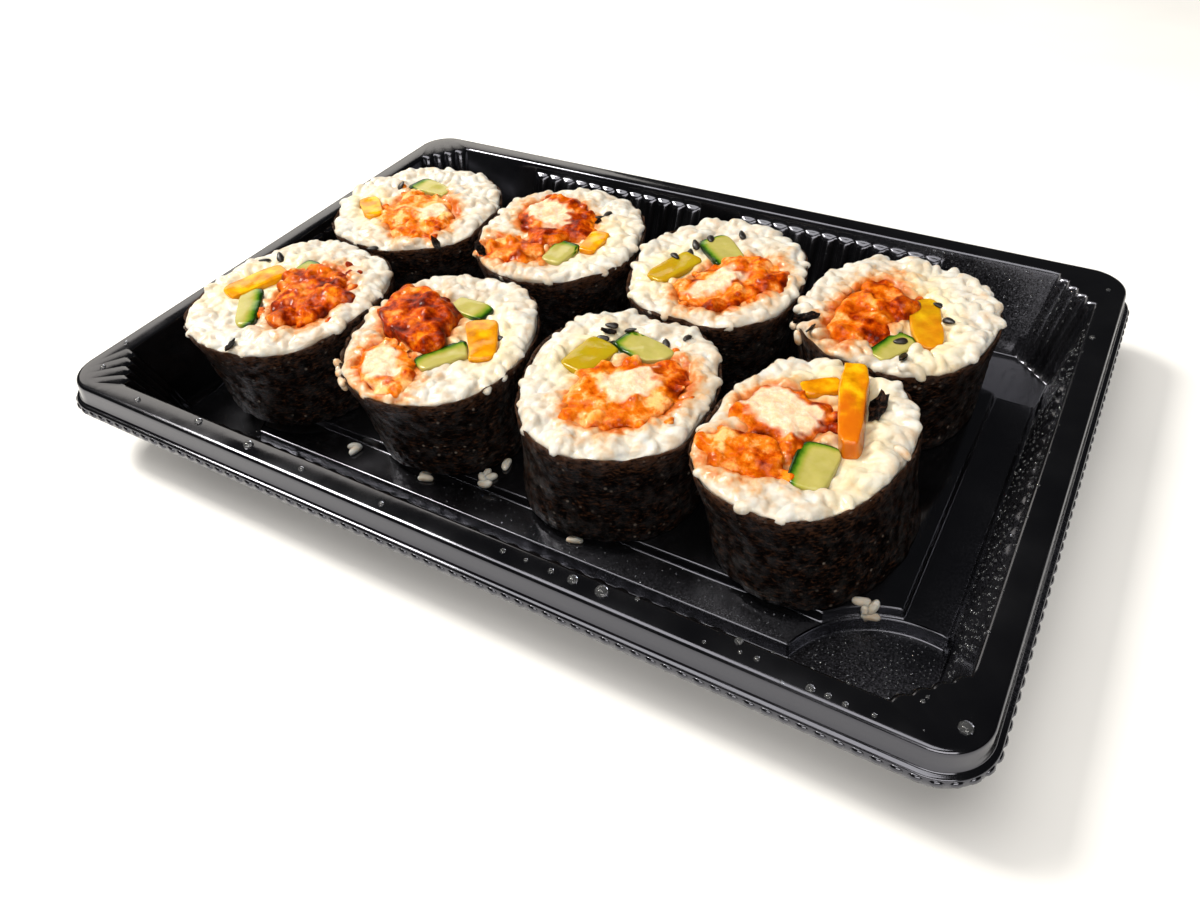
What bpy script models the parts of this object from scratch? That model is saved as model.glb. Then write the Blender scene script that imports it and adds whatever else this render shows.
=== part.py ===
"""A takeaway sushi tray: a thin black moulded tray that holds eight fat sushi rolls in two rows.

Sizes are written in millimetres and meshes are made in metres. The origin is under the middle of the
tray, on the surface it stands on. X runs along the tray's long side, to the right, Y runs to the back
and Z is up.
"""

import math
import random
from collections import namedtuple

import bmesh
import bpy
from mathutils import Matrix, Vector

MM = 0.001
GAP = 0.3

# The tray, seen from above
RIM_X = 109.0
RIM_Y = 75.8
RIM_CORNER = 9.0
MOUTH_X = 103.1
MOUTH_Y = 70.0
MOUTH_CORNER_X = 93.0
MOUTH_CORNER_Y = 59.6
FLOOR_X = 98.7
FLOOR_Y = 61.6
FLOOR_CORNER_X = 89.4
FLOOR_CORNER_Y = 52.9
BAND_X = 97.4
BAND_Y = 54.4
PLATEAU_X = 88.2
PLATEAU_Y = 45.5
WELL_X = 93.0
WELL_Y = 61.5
WELL_RADIUS = 23.0

# The tray's heights
SHELL = 0.7
RIM_Z = 22.7
WELL_Z = SHELL
BAND_Z = 3.7
SIDE_FOLD_Z = 3.1
PLATEAU_Z = 5.7
STEP_RUN = 0.5

# The turned-down edge: a skirt with a lip at its foot
EDGE_FILLET = 1.2
SKIRT_DROP = 4.9
SKIRT_DRAFT = 0.6
LIP_REACH = 2.4
LIP_DROP = 7.4

# The upright flutes that stiffen the walls
FLUTE_PITCH = 4.85
FLUTE_DEPTH = 0.9
FLUTES_LONG = 12
FLUTES_SHORT = 6
LONG_FLUTES_FROM = 8.9
FLUTE_TOP_DROP = 3.2
CORNER_FLUTES = 4
CORNER_FLUTE_DEPTH = 0.7

# The rolls: a sheet of seaweed round rice, with fillings through the middle
FACE_Z = RIM_Z + 7.0
STAND_Z = PLATEAU_Z + GAP
NORI = 0.5
NORI_SHORT_OF_FACE = 2.2
NORI_WAVE = 0.35
SQUARENESS = 2.3
ROLL_SIDES = 24
RICE_BUMP = 0.5
RICE_RINGS = (0.98, 0.85, 0.63)
GRAIN_LENGTH = 6.8
GRAIN_WIDTH = 3.1
GRAIN_HEIGHT = 2.5
GRAIN_TILT = 0.12
GRAINS_PER_ROLL = 9
CUT_SIDES = 8
ROUGH_SIDES = 12
GOLDEN_ANGLE = math.pi * (3 - math.sqrt(5))

Roll = namedtuple("Roll", "name x y width depth turn lean_x lean_y taper fillings")
Filling = namedtuple("Filling", "kind x y length width turn rise rough")


def radish(x, y, length, width, turn, rise=0.6):
    """A bar of pickled yellow radish, cut square."""
    return Filling("radish", x, y, length, width, turn, rise, 0.0)


def cucumber(x, y, length, width, turn, rise=0.5):
    """A wedge of cucumber with its skin along one side."""
    return Filling("cucumber", x, y, length, width, turn, rise, 0.0)


def chicken(x, y, length, width, turn, rise=1.6):
    """A piece of fried chicken in a craggy coating."""
    return Filling("chicken", x, y, length, width, turn, rise, 0.55)


def crust(x, y, length, width, turn, rise=1.6):
    """A loose lump of the chicken's fried coating."""
    return Filling("crust", x, y, length, width, turn, rise, 0.6)


ROLLS = (
    Roll("front_1", -74.0, -29.8, 46.6, 53.8, 0, 2.0, 2.0, 0.93, (
        radish(-11.0, -0.4, 16.4, 8.4, 71),
        cucumber(-4.2, -9.8, 16.0, 6.2, 128),
        cucumber(-3.8, 10.4, 7.0, 5.0, 94),
        chicken(6.2, 0.4, 27.0, 18.0, 108, 2.4))),
    Roll("front_2", -27.6, -27.6, 44.4, 53.4, 14, 2.0, 2.5, 0.92, (
        radish(10.2, 1.8, 15.6, 8.6, 124),
        cucumber(6.2, -7.2, 12.8, 6.6, 60),
        cucumber(0.6, 11.4, 11.0, 6.4, -4),
        chicken(-7.6, 1.2, 24.0, 17.0, 141, 4.6),
        crust(-3.4, -16.0, 18.0, 12.6, 136, 1.8))),
    Roll("front_3", 18.4, -24.2, 44.2, 53.4, 18, -0.8, -0.4, 0.99, (
        radish(-9.8, 4.0, 13.0, 9.0, 81),
        cucumber(-0.2, 11.6, 14.0, 8.2, 169),
        chicken(4.4, -3.2, 29.0, 21.0, 66, 1.8))),
    Roll("front_4", 60.2, -22.8, 40.8, 52.4, -12, 5.0, -0.6, 0.95, (
        radish(6.8, 8.6, 25.4, 6.4, 106, 3.4),
        radish(-1.8, 14.2, 8.6, 5.0, 37),
        cucumber(5.2, -9.4, 13.0, 9.0, 94),
        chicken(-5.6, 2.8, 19.0, 17.0, 166, 1.6),
        crust(-7.6, -11.6, 16.0, 12.6, 11, 2.0))),
    Roll("back_1", -72.8, 20.8, 48.0, 49.6, 22, 1.0, 1.0, 0.93, (
        radish(-11.4, -6.8, 11.4, 6.0, 140),
        cucumber(-2.6, 9.4, 12.4, 8.6, 168),
        chicken(4.2, -4.2, 28.0, 20.0, 128, 1.6))),
    Roll("back_2", -27.2, 25.0, 45.4, 50.4, 16, 1.0, 1.5, 0.93, (
        radish(11.4, -1.6, 10.4, 5.6, 94),
        cucumber(6.2, -9.8, 10.4, 7.4, 89),
        chicken(-3.8, 4.2, 24.0, 19.0, 162, 2.0),
        crust(-6.4, -13.6, 17.0, 11.4, 179, 1.6))),
    Roll("back_3", 19.0, 25.0, 44.0, 50.8, 8, 1.0, 0.5, 0.93, (
        radish(-10.0, -4.2, 15.0, 7.2, 72),
        cucumber(-2.4, 8.0, 14.0, 9.2, 138),
        chicken(5.4, -5.4, 28.0, 19.0, 59, 1.8))),
    Roll("back_4", 64.4, 25.2, 44.6, 47.6, -10, 0.5, 0.5, 0.92, (
        radish(6.8, -2.0, 19.4, 7.6, 109),
        cucumber(2.8, -13.8, 11.4, 6.4, 67),
        chicken(-6.2, -3.6, 28.0, 14.6, 81, 2.0))),
)


def clear_scene():
    """Empties the scene, so that only the tray and its rolls are in it."""
    for obj in list(bpy.data.objects):
        bpy.data.objects.remove(obj, do_unlink=True)


def material(name, colour, roughness, metallic=0.0):
    """A plain Principled material."""
    mat = bpy.data.materials.new(name)
    mat.use_nodes = True
    shader = mat.node_tree.nodes["Principled BSDF"]
    shader.inputs["Base Color"].default_value = (*colour, 1.0)
    shader.inputs["Roughness"].default_value = roughness
    shader.inputs["Metallic"].default_value = metallic
    return mat


def add_object(name, bm, mat, smooth_angle=35):
    """Turns a bmesh in millimetres into an object in metres."""
    bmesh.ops.recalc_face_normals(bm, faces=bm.faces)
    bmesh.ops.scale(bm, vec=Vector((MM, MM, MM)), verts=bm.verts)
    mesh = bpy.data.meshes.new(name)
    bm.to_mesh(mesh)
    bm.free()
    mesh.shade_smooth()
    mesh.set_sharp_from_angle(angle=math.radians(smooth_angle))
    obj = bpy.data.objects.new(name, mesh)
    bpy.context.scene.collection.objects.link(obj)
    mesh.materials.append(mat)
    return obj


def mix(a, b, share):
    return a + (b - a) * share


# Loops of points and the skins between them


def by_angle(point):
    """The share of a full turn at which a point lies, with the tray's length evened out."""
    return math.atan2(point[1] / RIM_Y, point[0] / RIM_X) % (2 * math.pi)


def zip_loops(bm, first, second):
    """Fills the strip between two closed loops, which may have different numbers of points."""
    count_a, count_b = len(first), len(second)
    angles_a = [by_angle(v.co) for v in first]
    angles_b = [by_angle(v.co) for v in second]
    a = b = 0
    while a < count_a or b < count_b:
        next_a = angles_a[a + 1] if a + 1 < count_a else 2 * math.pi + angles_a[(a + 1) % count_a]
        next_b = angles_b[b + 1] if b + 1 < count_b else 2 * math.pi + angles_b[(b + 1) % count_b]
        if b >= count_b or (a < count_a and next_a <= next_b):
            bm.faces.new((first[a], first[(a + 1) % count_a], second[b % count_b]))
            a += 1
        else:
            bm.faces.new((first[a % count_a], second[(b + 1) % count_b], second[b]))
            b += 1


def join_loops(bm, first, second):
    """Fills the strip between two closed loops of as many points, every diagonal rising the same way."""
    lower, upper = sorted((first, second), key=lambda loop: loop[0].co.z)
    for i in range(len(lower)):
        after = (i + 1) % len(lower)
        bm.faces.new((lower[i], lower[after], upper[after]))
        bm.faces.new((lower[i], upper[after], upper[i]))


def skin(loops, ring=False):
    """A closed solid from loops of points: capped at both ends, or closed on itself as a ring."""
    bm = bmesh.new()
    rows = [[bm.verts.new(point) for point in loop] for loop in loops]
    for first, second in zip(rows, rows[1:]):
        join_loops(bm, first, second)
    if ring:
        join_loops(bm, rows[-1], rows[0])
    else:
        bm.faces.new(rows[0])
        bm.faces.new(rows[-1])
    return bm


# The tray


def around(quarter):
    """A whole loop from the points of its first quarter, which run from the +X side to the +Y side."""
    turned = [(x, y, z) for x, y, z in quarter]
    turned += [(-x, y, z) for x, y, z in reversed(quarter)]
    turned += [(-x, -y, z) for x, y, z in quarter]
    turned += [(x, -y, z) for x, y, z in reversed(quarter)]
    return sorted(turned, key=by_angle)


def rim_loop(outset, z, steps=6):
    """A rounded rectangle that lies a given distance outside the rim's edge."""
    radius = RIM_CORNER + outset
    quarter = [(RIM_X + outset, RIM_Y * 0.4, z)]
    for i in range(steps):
        angle = math.pi / 2 * i / (steps - 1)
        quarter.append((RIM_X - RIM_CORNER + radius * math.cos(angle),
                        RIM_Y - RIM_CORNER + radius * math.sin(angle), z))
    quarter.append((RIM_X * 0.4, RIM_Y + outset, z))
    return around(quarter)


def flute_offsets(start, count, fluted):
    """Places along a wall with how far each stands in: the edges and middles of the flutes."""
    places = []
    for i in range(count):
        middle = start + FLUTE_PITCH * i
        places.append((middle - FLUTE_PITCH / 2, 0.0))
        places.append((middle, FLUTE_DEPTH))
    places.append((start + FLUTE_PITCH * (count - 0.5), 0.0))
    places = [place for place in places if place[0] > 0]
    return places if fluted else [(along, 0.0) for along, _ in places[::4]]


def wall_loop(z, fluted=False, outset=0.0):
    """The inside of the walls at a height: straight sides, and cut corners with upright scallops."""
    share = (RIM_Z - z) / (RIM_Z - WELL_Z)
    side_x = mix(MOUTH_X, FLOOR_X, share) + outset
    side_y = mix(MOUTH_Y, FLOOR_Y, share) + outset
    corner_x = mix(MOUTH_CORNER_X, FLOOR_CORNER_X, share) + outset * math.tan(math.pi / 8)
    corner_y = mix(MOUTH_CORNER_Y, FLOOR_CORNER_Y, share) + outset * math.tan(math.pi / 8)
    quarter = []
    for along, depth in flute_offsets(FLUTE_PITCH / 2, FLUTES_SHORT, fluted):
        quarter.append((side_x - depth, along, z))
    steps = 2 * CORNER_FLUTES
    for i in range(steps + 1):
        depth = CORNER_FLUTE_DEPTH if i % 2 and outset == 0 else 0.0
        share_along = i / steps
        quarter.append((mix(side_x, corner_x, share_along) - depth * math.sqrt(0.5),
                        mix(corner_y, side_y, share_along) - depth * math.sqrt(0.5), z))
    for along, depth in reversed(flute_offsets(LONG_FLUTES_FROM, FLUTES_LONG, fluted)):
        quarter.append((along, side_y - depth, z))
    return around(quarter)


def platform_loop(half_x, half_y, well, z, side_z=None, steps=8):
    """A rectangle whose corners are cut away by the round wells; the short sides may lie higher."""
    start = math.asin((half_x - WELL_X) / well)
    end = math.acos((WELL_Y - half_y) / well)
    side_z = z if side_z is None else side_z
    corner_y = WELL_Y - well * math.cos(start)
    quarter = [(half_x, corner_y * 0.45, side_z), (half_x, corner_y - 1.0, side_z)]
    for i in range(steps):
        angle = mix(start, -end, i / (steps - 1))
        quarter.append((WELL_X + well * math.sin(angle), WELL_Y - well * math.cos(angle), z))
    quarter += [(WELL_X * 0.5, half_y, z), (WELL_X * 0.2, half_y, z)]
    return around(quarter)


def floor_edge_loop(half_x, half_y, z, side_z):
    """Where the walls meet the floor: low round the wells, higher along the middle of the short sides."""
    side_end = WELL_Y - WELL_RADIUS
    cut = half_y - FLOOR_CORNER_Y
    quarter = [(half_x, side_end * 0.45, side_z), (half_x, side_end - 1.0, side_z), (half_x, side_end + 1.0, z)]
    quarter += [(half_x, half_y - cut, z), (half_x - cut, half_y, z)]
    quarter += [(half_x * share, half_y, z) for share in (0.72, 0.54, 0.36, 0.2, 0.07)]
    return around(quarter)


def tray_loops():
    """The tray's section as loops, from the middle of its floor up, over the rim and back underneath."""
    flute_top = RIM_Z - FLUTE_TOP_DROP
    inner = [
        platform_loop(PLATEAU_X, PLATEAU_Y, WELL_RADIUS + 1.4, PLATEAU_Z),
        platform_loop(PLATEAU_X + STEP_RUN, PLATEAU_Y + STEP_RUN, WELL_RADIUS + 0.9, BAND_Z),
        platform_loop(BAND_X, BAND_Y, WELL_RADIUS, BAND_Z),
        platform_loop(BAND_X + STEP_RUN, BAND_Y + STEP_RUN, WELL_RADIUS - 0.8, WELL_Z, SIDE_FOLD_Z),
        floor_edge_loop(FLOOR_X, FLOOR_Y, WELL_Z, SIDE_FOLD_Z),
        wall_loop(BAND_Z + 0.6, fluted=True),
        wall_loop(flute_top, fluted=True),
        wall_loop(flute_top + 1.0),
        wall_loop(RIM_Z - 0.4),
        wall_loop(RIM_Z, outset=0.0001),
    ]
    edge = [
        rim_loop(-EDGE_FILLET, RIM_Z),
        rim_loop(-0.3 * EDGE_FILLET, RIM_Z - 0.3 * EDGE_FILLET),
        rim_loop(0.0, RIM_Z - EDGE_FILLET),
        rim_loop(SKIRT_DRAFT, RIM_Z - SKIRT_DROP),
        rim_loop(LIP_REACH - 0.3, RIM_Z - SKIRT_DROP - 0.3),
        rim_loop(LIP_REACH, RIM_Z - LIP_DROP),
    ]
    under_edge = [
        rim_loop(LIP_REACH - SHELL, RIM_Z - LIP_DROP),
        rim_loop(LIP_REACH - SHELL - 0.3, RIM_Z - SKIRT_DROP - SHELL - 0.3),
        rim_loop(SKIRT_DRAFT - SHELL, RIM_Z - SKIRT_DROP - SHELL),
        rim_loop(-SHELL, RIM_Z - EDGE_FILLET),
        rim_loop(-EDGE_FILLET - 0.3, RIM_Z - SHELL),
    ]
    under = [
        wall_loop(RIM_Z - SHELL, outset=SHELL + 0.3),
        wall_loop(BAND_Z, outset=SHELL),
        floor_edge_loop(FLOOR_X - 0.2, FLOOR_Y - 0.2, 0.0, SIDE_FOLD_Z - SHELL),
        platform_loop(BAND_X - 0.4, BAND_Y - 0.4, WELL_RADIUS, 0.0, SIDE_FOLD_Z - SHELL),
        platform_loop(BAND_X - 0.8, BAND_Y - 0.8, WELL_RADIUS + 0.8, BAND_Z - SHELL),
        platform_loop(PLATEAU_X - 0.2, PLATEAU_Y - 0.2, WELL_RADIUS + 1.8, BAND_Z - SHELL),
        platform_loop(PLATEAU_X - 0.7, PLATEAU_Y - 0.7, WELL_RADIUS + 2.3, PLATEAU_Z - SHELL),
    ]
    return inner + edge + under_edge + under


def make_tray(mat):
    bm = bmesh.new()
    rows = [[bm.verts.new(point) for point in loop] for loop in tray_loops()]
    for first, second in zip(rows, rows[1:]):
        zip_loops(bm, first, second)
    bm.faces.new(rows[0])
    bm.faces.new(rows[-1])
    add_object("tray", bm, mat)


# The rolls


def oval(length, width, turn, sides, squareness):
    """Points of a rounded oval about its middle."""
    cos_turn = math.cos(math.radians(turn))
    sin_turn = math.sin(math.radians(turn))
    points = []
    for i in range(sides):
        angle = 2 * math.pi * (i + 0.5) / sides
        c, s = math.cos(angle), math.sin(angle)
        u = length / 2 * math.copysign(abs(c) ** (2 / squareness), c)
        v = width / 2 * math.copysign(abs(s) ** (2 / squareness), s)
        points.append((u * cos_turn - v * sin_turn, u * sin_turn + v * cos_turn))
    return points


def support(points, towards):
    """How far a set of points reaches in a direction."""
    return max(x * towards[0] + y * towards[1] for x, y in points)


def press_flat(points, towards, limit):
    """Moves the points that pass a flat face back onto it."""
    pressed = []
    for x, y in points:
        excess = max(x * towards[0] + y * towards[1] - limit, 0.0)
        pressed.append((x - towards[0] * excess, y - towards[1] * excess))
    return pressed


def pressed_outline(own, others, grow, directions=0):
    """An outline grown by a distance and pressed flat where it would run into its neighbours.

    The outline and its neighbours are each a middle and the points about it. Two that would run into
    each other give way by the same amount, along the line between their middles, or along whichever of
    a number of evenly spread directions parts them best.
    """
    middle, points, grown = own
    for other_middle, other_points in others:
        away = (other_middle[0] - middle[0], other_middle[1] - middle[1])
        distance = math.hypot(*away)
        ways = [(away[0] / distance, away[1] / distance)]
        ways += [(math.cos(2 * math.pi * i / directions), math.sin(2 * math.pi * i / directions))
                 for i in range(directions)]
        gaps = [away[0] * way[0] + away[1] * way[1] - support(points, way)
                - support(other_points, (-way[0], -way[1])) for way in ways]
        gap, towards = max(zip(gaps, ways))
        if gap < GAP:
            limit = support(points, towards) - (GAP - gap) / 2 + grow
            grown = press_flat(grown, towards, limit)
    return grown


def share_down(z):
    """How far down a height lies between the rolls' faces and their feet."""
    return (FACE_Z - z) / (FACE_Z - STAND_Z)


def roll_middle(roll, z):
    return (roll.x + roll.lean_x * share_down(z), roll.y + roll.lean_y * share_down(z))


def roll_scale(roll, z):
    return mix(1.0, roll.taper, share_down(z))


def roll_oval(roll, z):
    scale = roll_scale(roll, z)
    return oval(roll.width * scale, roll.depth * scale, roll.turn, ROLL_SIDES, SQUARENESS)


def inset_outline(points, inset):
    """Moves every side of an outline inwards by the same distance."""
    moved = []
    for before, point, after in zip(points[-1:] + points[:-1], points, points[1:] + points[:1]):
        first = (Vector(point) - Vector(before)).normalized()
        second = (Vector(after) - Vector(point)).normalized()
        corner = 1 + first.dot(second)
        moved.append((point[0] - (first.y + second.y) * inset / corner,
                      point[1] + (first.x + second.x) * inset / corner))
    return moved


def roll_loop(roll, z, inset=0.0, shrink=1.0, heights=None):
    """A roll's outline at a height. It leans and tapers downwards, and presses flat on its neighbours."""
    middle = roll_middle(roll, z)
    own = (middle, roll_oval(roll, z), roll_oval(roll, z))
    others = [(roll_middle(other, z), roll_oval(other, z)) for other in ROLLS if other is not roll]
    outline = inset_outline(pressed_outline(own, others, -0.05), inset)
    heights = heights or [z] * ROLL_SIDES
    return [(middle[0] + x * shrink, middle[1] + y * shrink, height) for (x, y), height in zip(outline, heights)]


def nori_tops(roll, lift=0.0):
    """The wavy heights of the seaweed's upper edge."""
    heights = []
    for i in range(ROLL_SIDES):
        angle = 2 * math.pi * i / ROLL_SIDES
        wave = math.sin(3 * angle + roll.x) + math.sin(5 * angle + roll.y)
        heights.append(FACE_Z - NORI_SHORT_OF_FACE + NORI_WAVE * wave + lift)
    return heights


def make_nori(roll, mat):
    """The seaweed sheet round the roll."""
    top_z = FACE_Z - NORI_SHORT_OF_FACE
    loops = [
        roll_loop(roll, STAND_Z),
        roll_loop(roll, mix(STAND_Z, top_z, 0.5), inset=-0.1),
        roll_loop(roll, top_z, heights=nori_tops(roll)),
        roll_loop(roll, top_z, inset=NORI, heights=nori_tops(roll)),
        roll_loop(roll, STAND_Z, inset=NORI),
    ]
    add_object(f"{roll.name}_nori", skin(loops, ring=True), mat)


def rice_body(roll, rng):
    """The rice out to its bumpy face, still without the grains and the pockets for the fillings."""
    wall = NORI + GAP + 0.1
    nori_end = FACE_Z - NORI_SHORT_OF_FACE
    loops = [roll_loop(roll, STAND_Z, inset=wall), roll_loop(roll, nori_end, inset=wall, heights=nori_tops(roll, 0.4))]
    for shrink in RICE_RINGS:
        heights = [FACE_Z + rng.uniform(-RICE_BUMP, RICE_BUMP) for _ in range(ROLL_SIDES)]
        loops.append(roll_loop(roll, FACE_Z, inset=wall, shrink=shrink, heights=heights))
    bm = bmesh.new()
    rows = [[bm.verts.new(point) for point in loop] for loop in loops]
    for first, second in zip(rows, rows[1:]):
        join_loops(bm, first, second)
    bm.faces.new(rows[0])
    middle = bm.verts.new((roll.x, roll.y, FACE_Z))
    for i in range(ROLL_SIDES):
        bm.faces.new((rows[-1][i], rows[-1][(i + 1) % ROLL_SIDES], middle))
    return bm


def within(outline, x, y):
    """Whether a place lies inside an outline."""
    inside = False
    for (ax, ay, _), (bx, by, _) in zip(outline, outline[1:] + outline[:1]):
        if (ay > y) != (by > y) and x < ax + (bx - ax) * (y - ay) / (by - ay):
            inside = not inside
    return inside


def near_filling(roll, x, y, margin):
    """Whether a place on the roll's face lies on a filling, or within a margin of one."""
    for filling in roll.fillings:
        turn = math.radians(filling.turn)
        away_x, away_y = x - roll.x - filling.x, y - roll.y - filling.y
        u = away_x * math.cos(turn) + away_y * math.sin(turn)
        v = -away_x * math.sin(turn) + away_y * math.cos(turn)
        if (u / (filling.length / 2 + margin)) ** 2 + (v / (filling.width / 2 + margin)) ** 2 < 1:
            return True
    return False


def grain_places(roll, rng):
    """Where grains stand out of the rice, spread evenly round the roll's face, clear of its edge."""
    edge = roll_loop(roll, FACE_Z, inset=NORI + GAP + 1.4)
    places = []
    for step in range(600):
        share = 0.92 - 0.45 * ((step * 0.37) % 1.0)
        angle = step * GOLDEN_ANGLE
        x = roll.x + share * roll.width / 2 * math.cos(angle)
        y = roll.y + share * roll.depth / 2 * math.sin(angle)
        turn = rng.uniform(0, math.pi)
        ends = [(x + side * GRAIN_LENGTH / 2 * math.cos(turn), y + side * GRAIN_LENGTH / 2 * math.sin(turn))
                for side in (-1, 1)]
        crowded = any(math.hypot(x - px, y - py) < GRAIN_LENGTH * 0.9 for px, py, _ in places)
        if crowded or near_filling(roll, x, y, GRAIN_WIDTH * 0.8):
            continue
        if all(within(edge, *end) for end in ends):
            places.append((x, y, turn))
        if len(places) == GRAINS_PER_ROLL:
            break
    return places


def make_grain(x, y, turn, tilt, mat):
    """One cooked grain, as a long low-sided ball half sunk in the face."""
    bm = bmesh.new()
    bmesh.ops.create_icosphere(bm, subdivisions=1, radius=0.5)
    bmesh.ops.scale(bm, vec=Vector((GRAIN_LENGTH, GRAIN_WIDTH, GRAIN_HEIGHT)), verts=bm.verts)
    turned = Matrix.Rotation(turn, 3, "Z") @ Matrix.Rotation(tilt, 3, "Y")
    bmesh.ops.rotate(bm, cent=Vector(), matrix=turned, verts=bm.verts)
    bmesh.ops.translate(bm, vec=Vector((x, y, FACE_Z + GRAIN_HEIGHT * 0.2)), verts=bm.verts)
    return add_object("grain", bm, mat)


def filling_points(filling, grow=0.0):
    """A filling's outline about its own middle: square-cut for vegetables, uneven for chicken."""
    sides = ROUGH_SIDES if filling.rough else CUT_SIDES
    squareness = 2.3 if filling.rough else 4.0
    outline = oval(filling.length + 2 * grow, filling.width + 2 * grow, filling.turn, sides, squareness)
    if not filling.rough:
        return outline
    uneven = [1 - 0.06 * (1 + math.sin(2.3 * i + filling.x)) for i in range(sides)]
    return [(x * share, y * share) for (x, y), share in zip(outline, uneven)]


def filling_loop(roll, filling, z, grow=0.0, draw_in=1.0, bump=0.0, rng=None):
    """A filling's outline at a height, leaning and tapering with its roll."""
    own = ((filling.x, filling.y), filling_points(filling), filling_points(filling, grow))
    others = [((other.x, other.y), filling_points(other)) for other in roll.fillings if other is not filling]
    outline = pressed_outline(own, others, grow, directions=36)
    scale = roll_scale(roll, z)
    middle_x, middle_y = roll_middle(roll, z)
    loop = []
    for x, y in outline:
        lift = rng.uniform(-bump, bump) if rng else 0.0
        loop.append((middle_x + (filling.x + x * draw_in) * scale,
                     middle_y + (filling.y + y * draw_in) * scale, z + lift))
    return loop


def make_filling(roll, filling, name, mat, rng):
    """One filling, from the foot of the roll to just above its face."""
    top = FACE_Z + filling.rise
    if filling.rough:
        loops = [filling_loop(roll, filling, STAND_Z),
                 filling_loop(roll, filling, top - 1.3, bump=0.3, rng=rng),
                 filling_loop(roll, filling, top, draw_in=0.72, bump=filling.rough, rng=rng)]
    else:
        loops = [filling_loop(roll, filling, STAND_Z),
                 filling_loop(roll, filling, top - 0.5),
                 filling_loop(roll, filling, top, draw_in=0.9)]
    bm = bmesh.new()
    rows = [[bm.verts.new(point) for point in loop] for loop in loops]
    for first, second in zip(rows, rows[1:]):
        join_loops(bm, first, second)
    bm.faces.new(rows[0])
    middle_x = sum(x for x, _, _ in loops[-1]) / len(loops[-1])
    middle_y = sum(y for _, y, _ in loops[-1]) / len(loops[-1])
    middle = bm.verts.new((middle_x, middle_y, top + filling.rough))
    for i, vert in enumerate(rows[-1]):
        bm.faces.new((vert, rows[-1][(i + 1) % len(rows[-1])], middle))
    add_object(name, bm, mat)


def make_pocket(roll, filling, mat):
    """The space that a filling takes in the rice, with a little room all round."""
    loops = [filling_loop(roll, filling, z, grow=GAP + 0.1) for z in (STAND_Z - 4, FACE_Z + 8)]
    return add_object("pocket", skin(loops), mat)


def apply_boolean(obj, operation, others):
    """Joins or cuts an object with others, and removes them."""
    group = bpy.data.collections.new("joined")
    bpy.context.scene.collection.children.link(group)
    for other in others:
        bpy.context.scene.collection.objects.unlink(other)
        group.objects.link(other)
    modifier = obj.modifiers.new("joined", "BOOLEAN")
    modifier.operation = operation
    modifier.operand_type = "COLLECTION"
    modifier.collection = group
    modifier.solver = "EXACT"
    bpy.context.view_layer.update()
    evaluated = obj.evaluated_get(bpy.context.evaluated_depsgraph_get())
    result = bpy.data.meshes.new_from_object(evaluated)
    obj.modifiers.remove(modifier)
    old = obj.data
    obj.data = result
    bpy.data.meshes.remove(old)
    for other in others:
        bpy.data.objects.remove(other, do_unlink=True)
    bpy.data.collections.remove(group)


def keep_largest_shell(obj):
    """Drops loose scraps and fills sealed hollows, which are shells of their own."""
    bm = bmesh.new()
    bm.from_mesh(obj.data)
    left = set(bm.verts)
    shells = []
    while left:
        shell = [left.pop()]
        for vert in shell:
            for edge in vert.link_edges:
                other = edge.other_vert(vert)
                if other in left:
                    left.remove(other)
                    shell.append(other)
        shells.append(shell)
    shells.sort(key=len)
    for shell in shells[:-1]:
        bmesh.ops.delete(bm, geom=shell, context="VERTS")
    bm.to_mesh(obj.data)
    bm.free()


def make_roll(roll, mats, seed):
    rng = random.Random(seed)
    make_nori(roll, mats["nori"])
    rice = add_object(f"{roll.name}_rice", rice_body(roll, rng), mats["rice"])
    grains = [make_grain(x, y, turn, rng.uniform(-GRAIN_TILT, GRAIN_TILT), mats["rice"])
              for x, y, turn in grain_places(roll, rng)]
    apply_boolean(rice, "UNION", grains)
    apply_boolean(rice, "DIFFERENCE", [make_pocket(roll, filling, mats["rice"]) for filling in roll.fillings])
    keep_largest_shell(rice)
    counts = {}
    for filling in roll.fillings:
        counts[filling.kind] = counts.get(filling.kind, 0) + 1
        number = f"_{counts[filling.kind]}" if counts[filling.kind] > 1 else ""
        make_filling(roll, filling, f"{roll.name}_{filling.kind}{number}", mats[filling.kind], rng)


def main():
    clear_scene()
    tray = material("black_plastic", (0.006, 0.006, 0.007), 0.18)
    mats = {
        "nori": material("seaweed", (0.010, 0.009, 0.007), 0.55),
        "rice": material("sushi_rice", (0.80, 0.76, 0.64), 0.45),
        "chicken": material("fried_chicken", (0.56, 0.20, 0.04), 0.45),
        "crust": material("fried_coating", (0.66, 0.30, 0.08), 0.50),
        "cucumber": material("cucumber", (0.42, 0.52, 0.16), 0.35),
        "radish": material("pickled_radish", (0.72, 0.44, 0.01), 0.35),
    }
    make_tray(tray)
    for seed, roll in enumerate(ROLLS, start=11):
        make_roll(roll, mats, seed)


main()
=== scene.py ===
"""Looks of a takeaway sushi tray: a black moulded tray with eight thick rolls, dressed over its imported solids.

Sizes are in millimetres and turned to metres as each mesh is made. X runs along the tray's long side, to the
right, Y to the back and Z up, from under the middle of the tray.
"""

import math
import random
from collections import namedtuple

import bmesh
import bpy
import numpy as np
from mathutils import Matrix, Vector, noise
from mathutils.bvhtree import BVHTree


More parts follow.
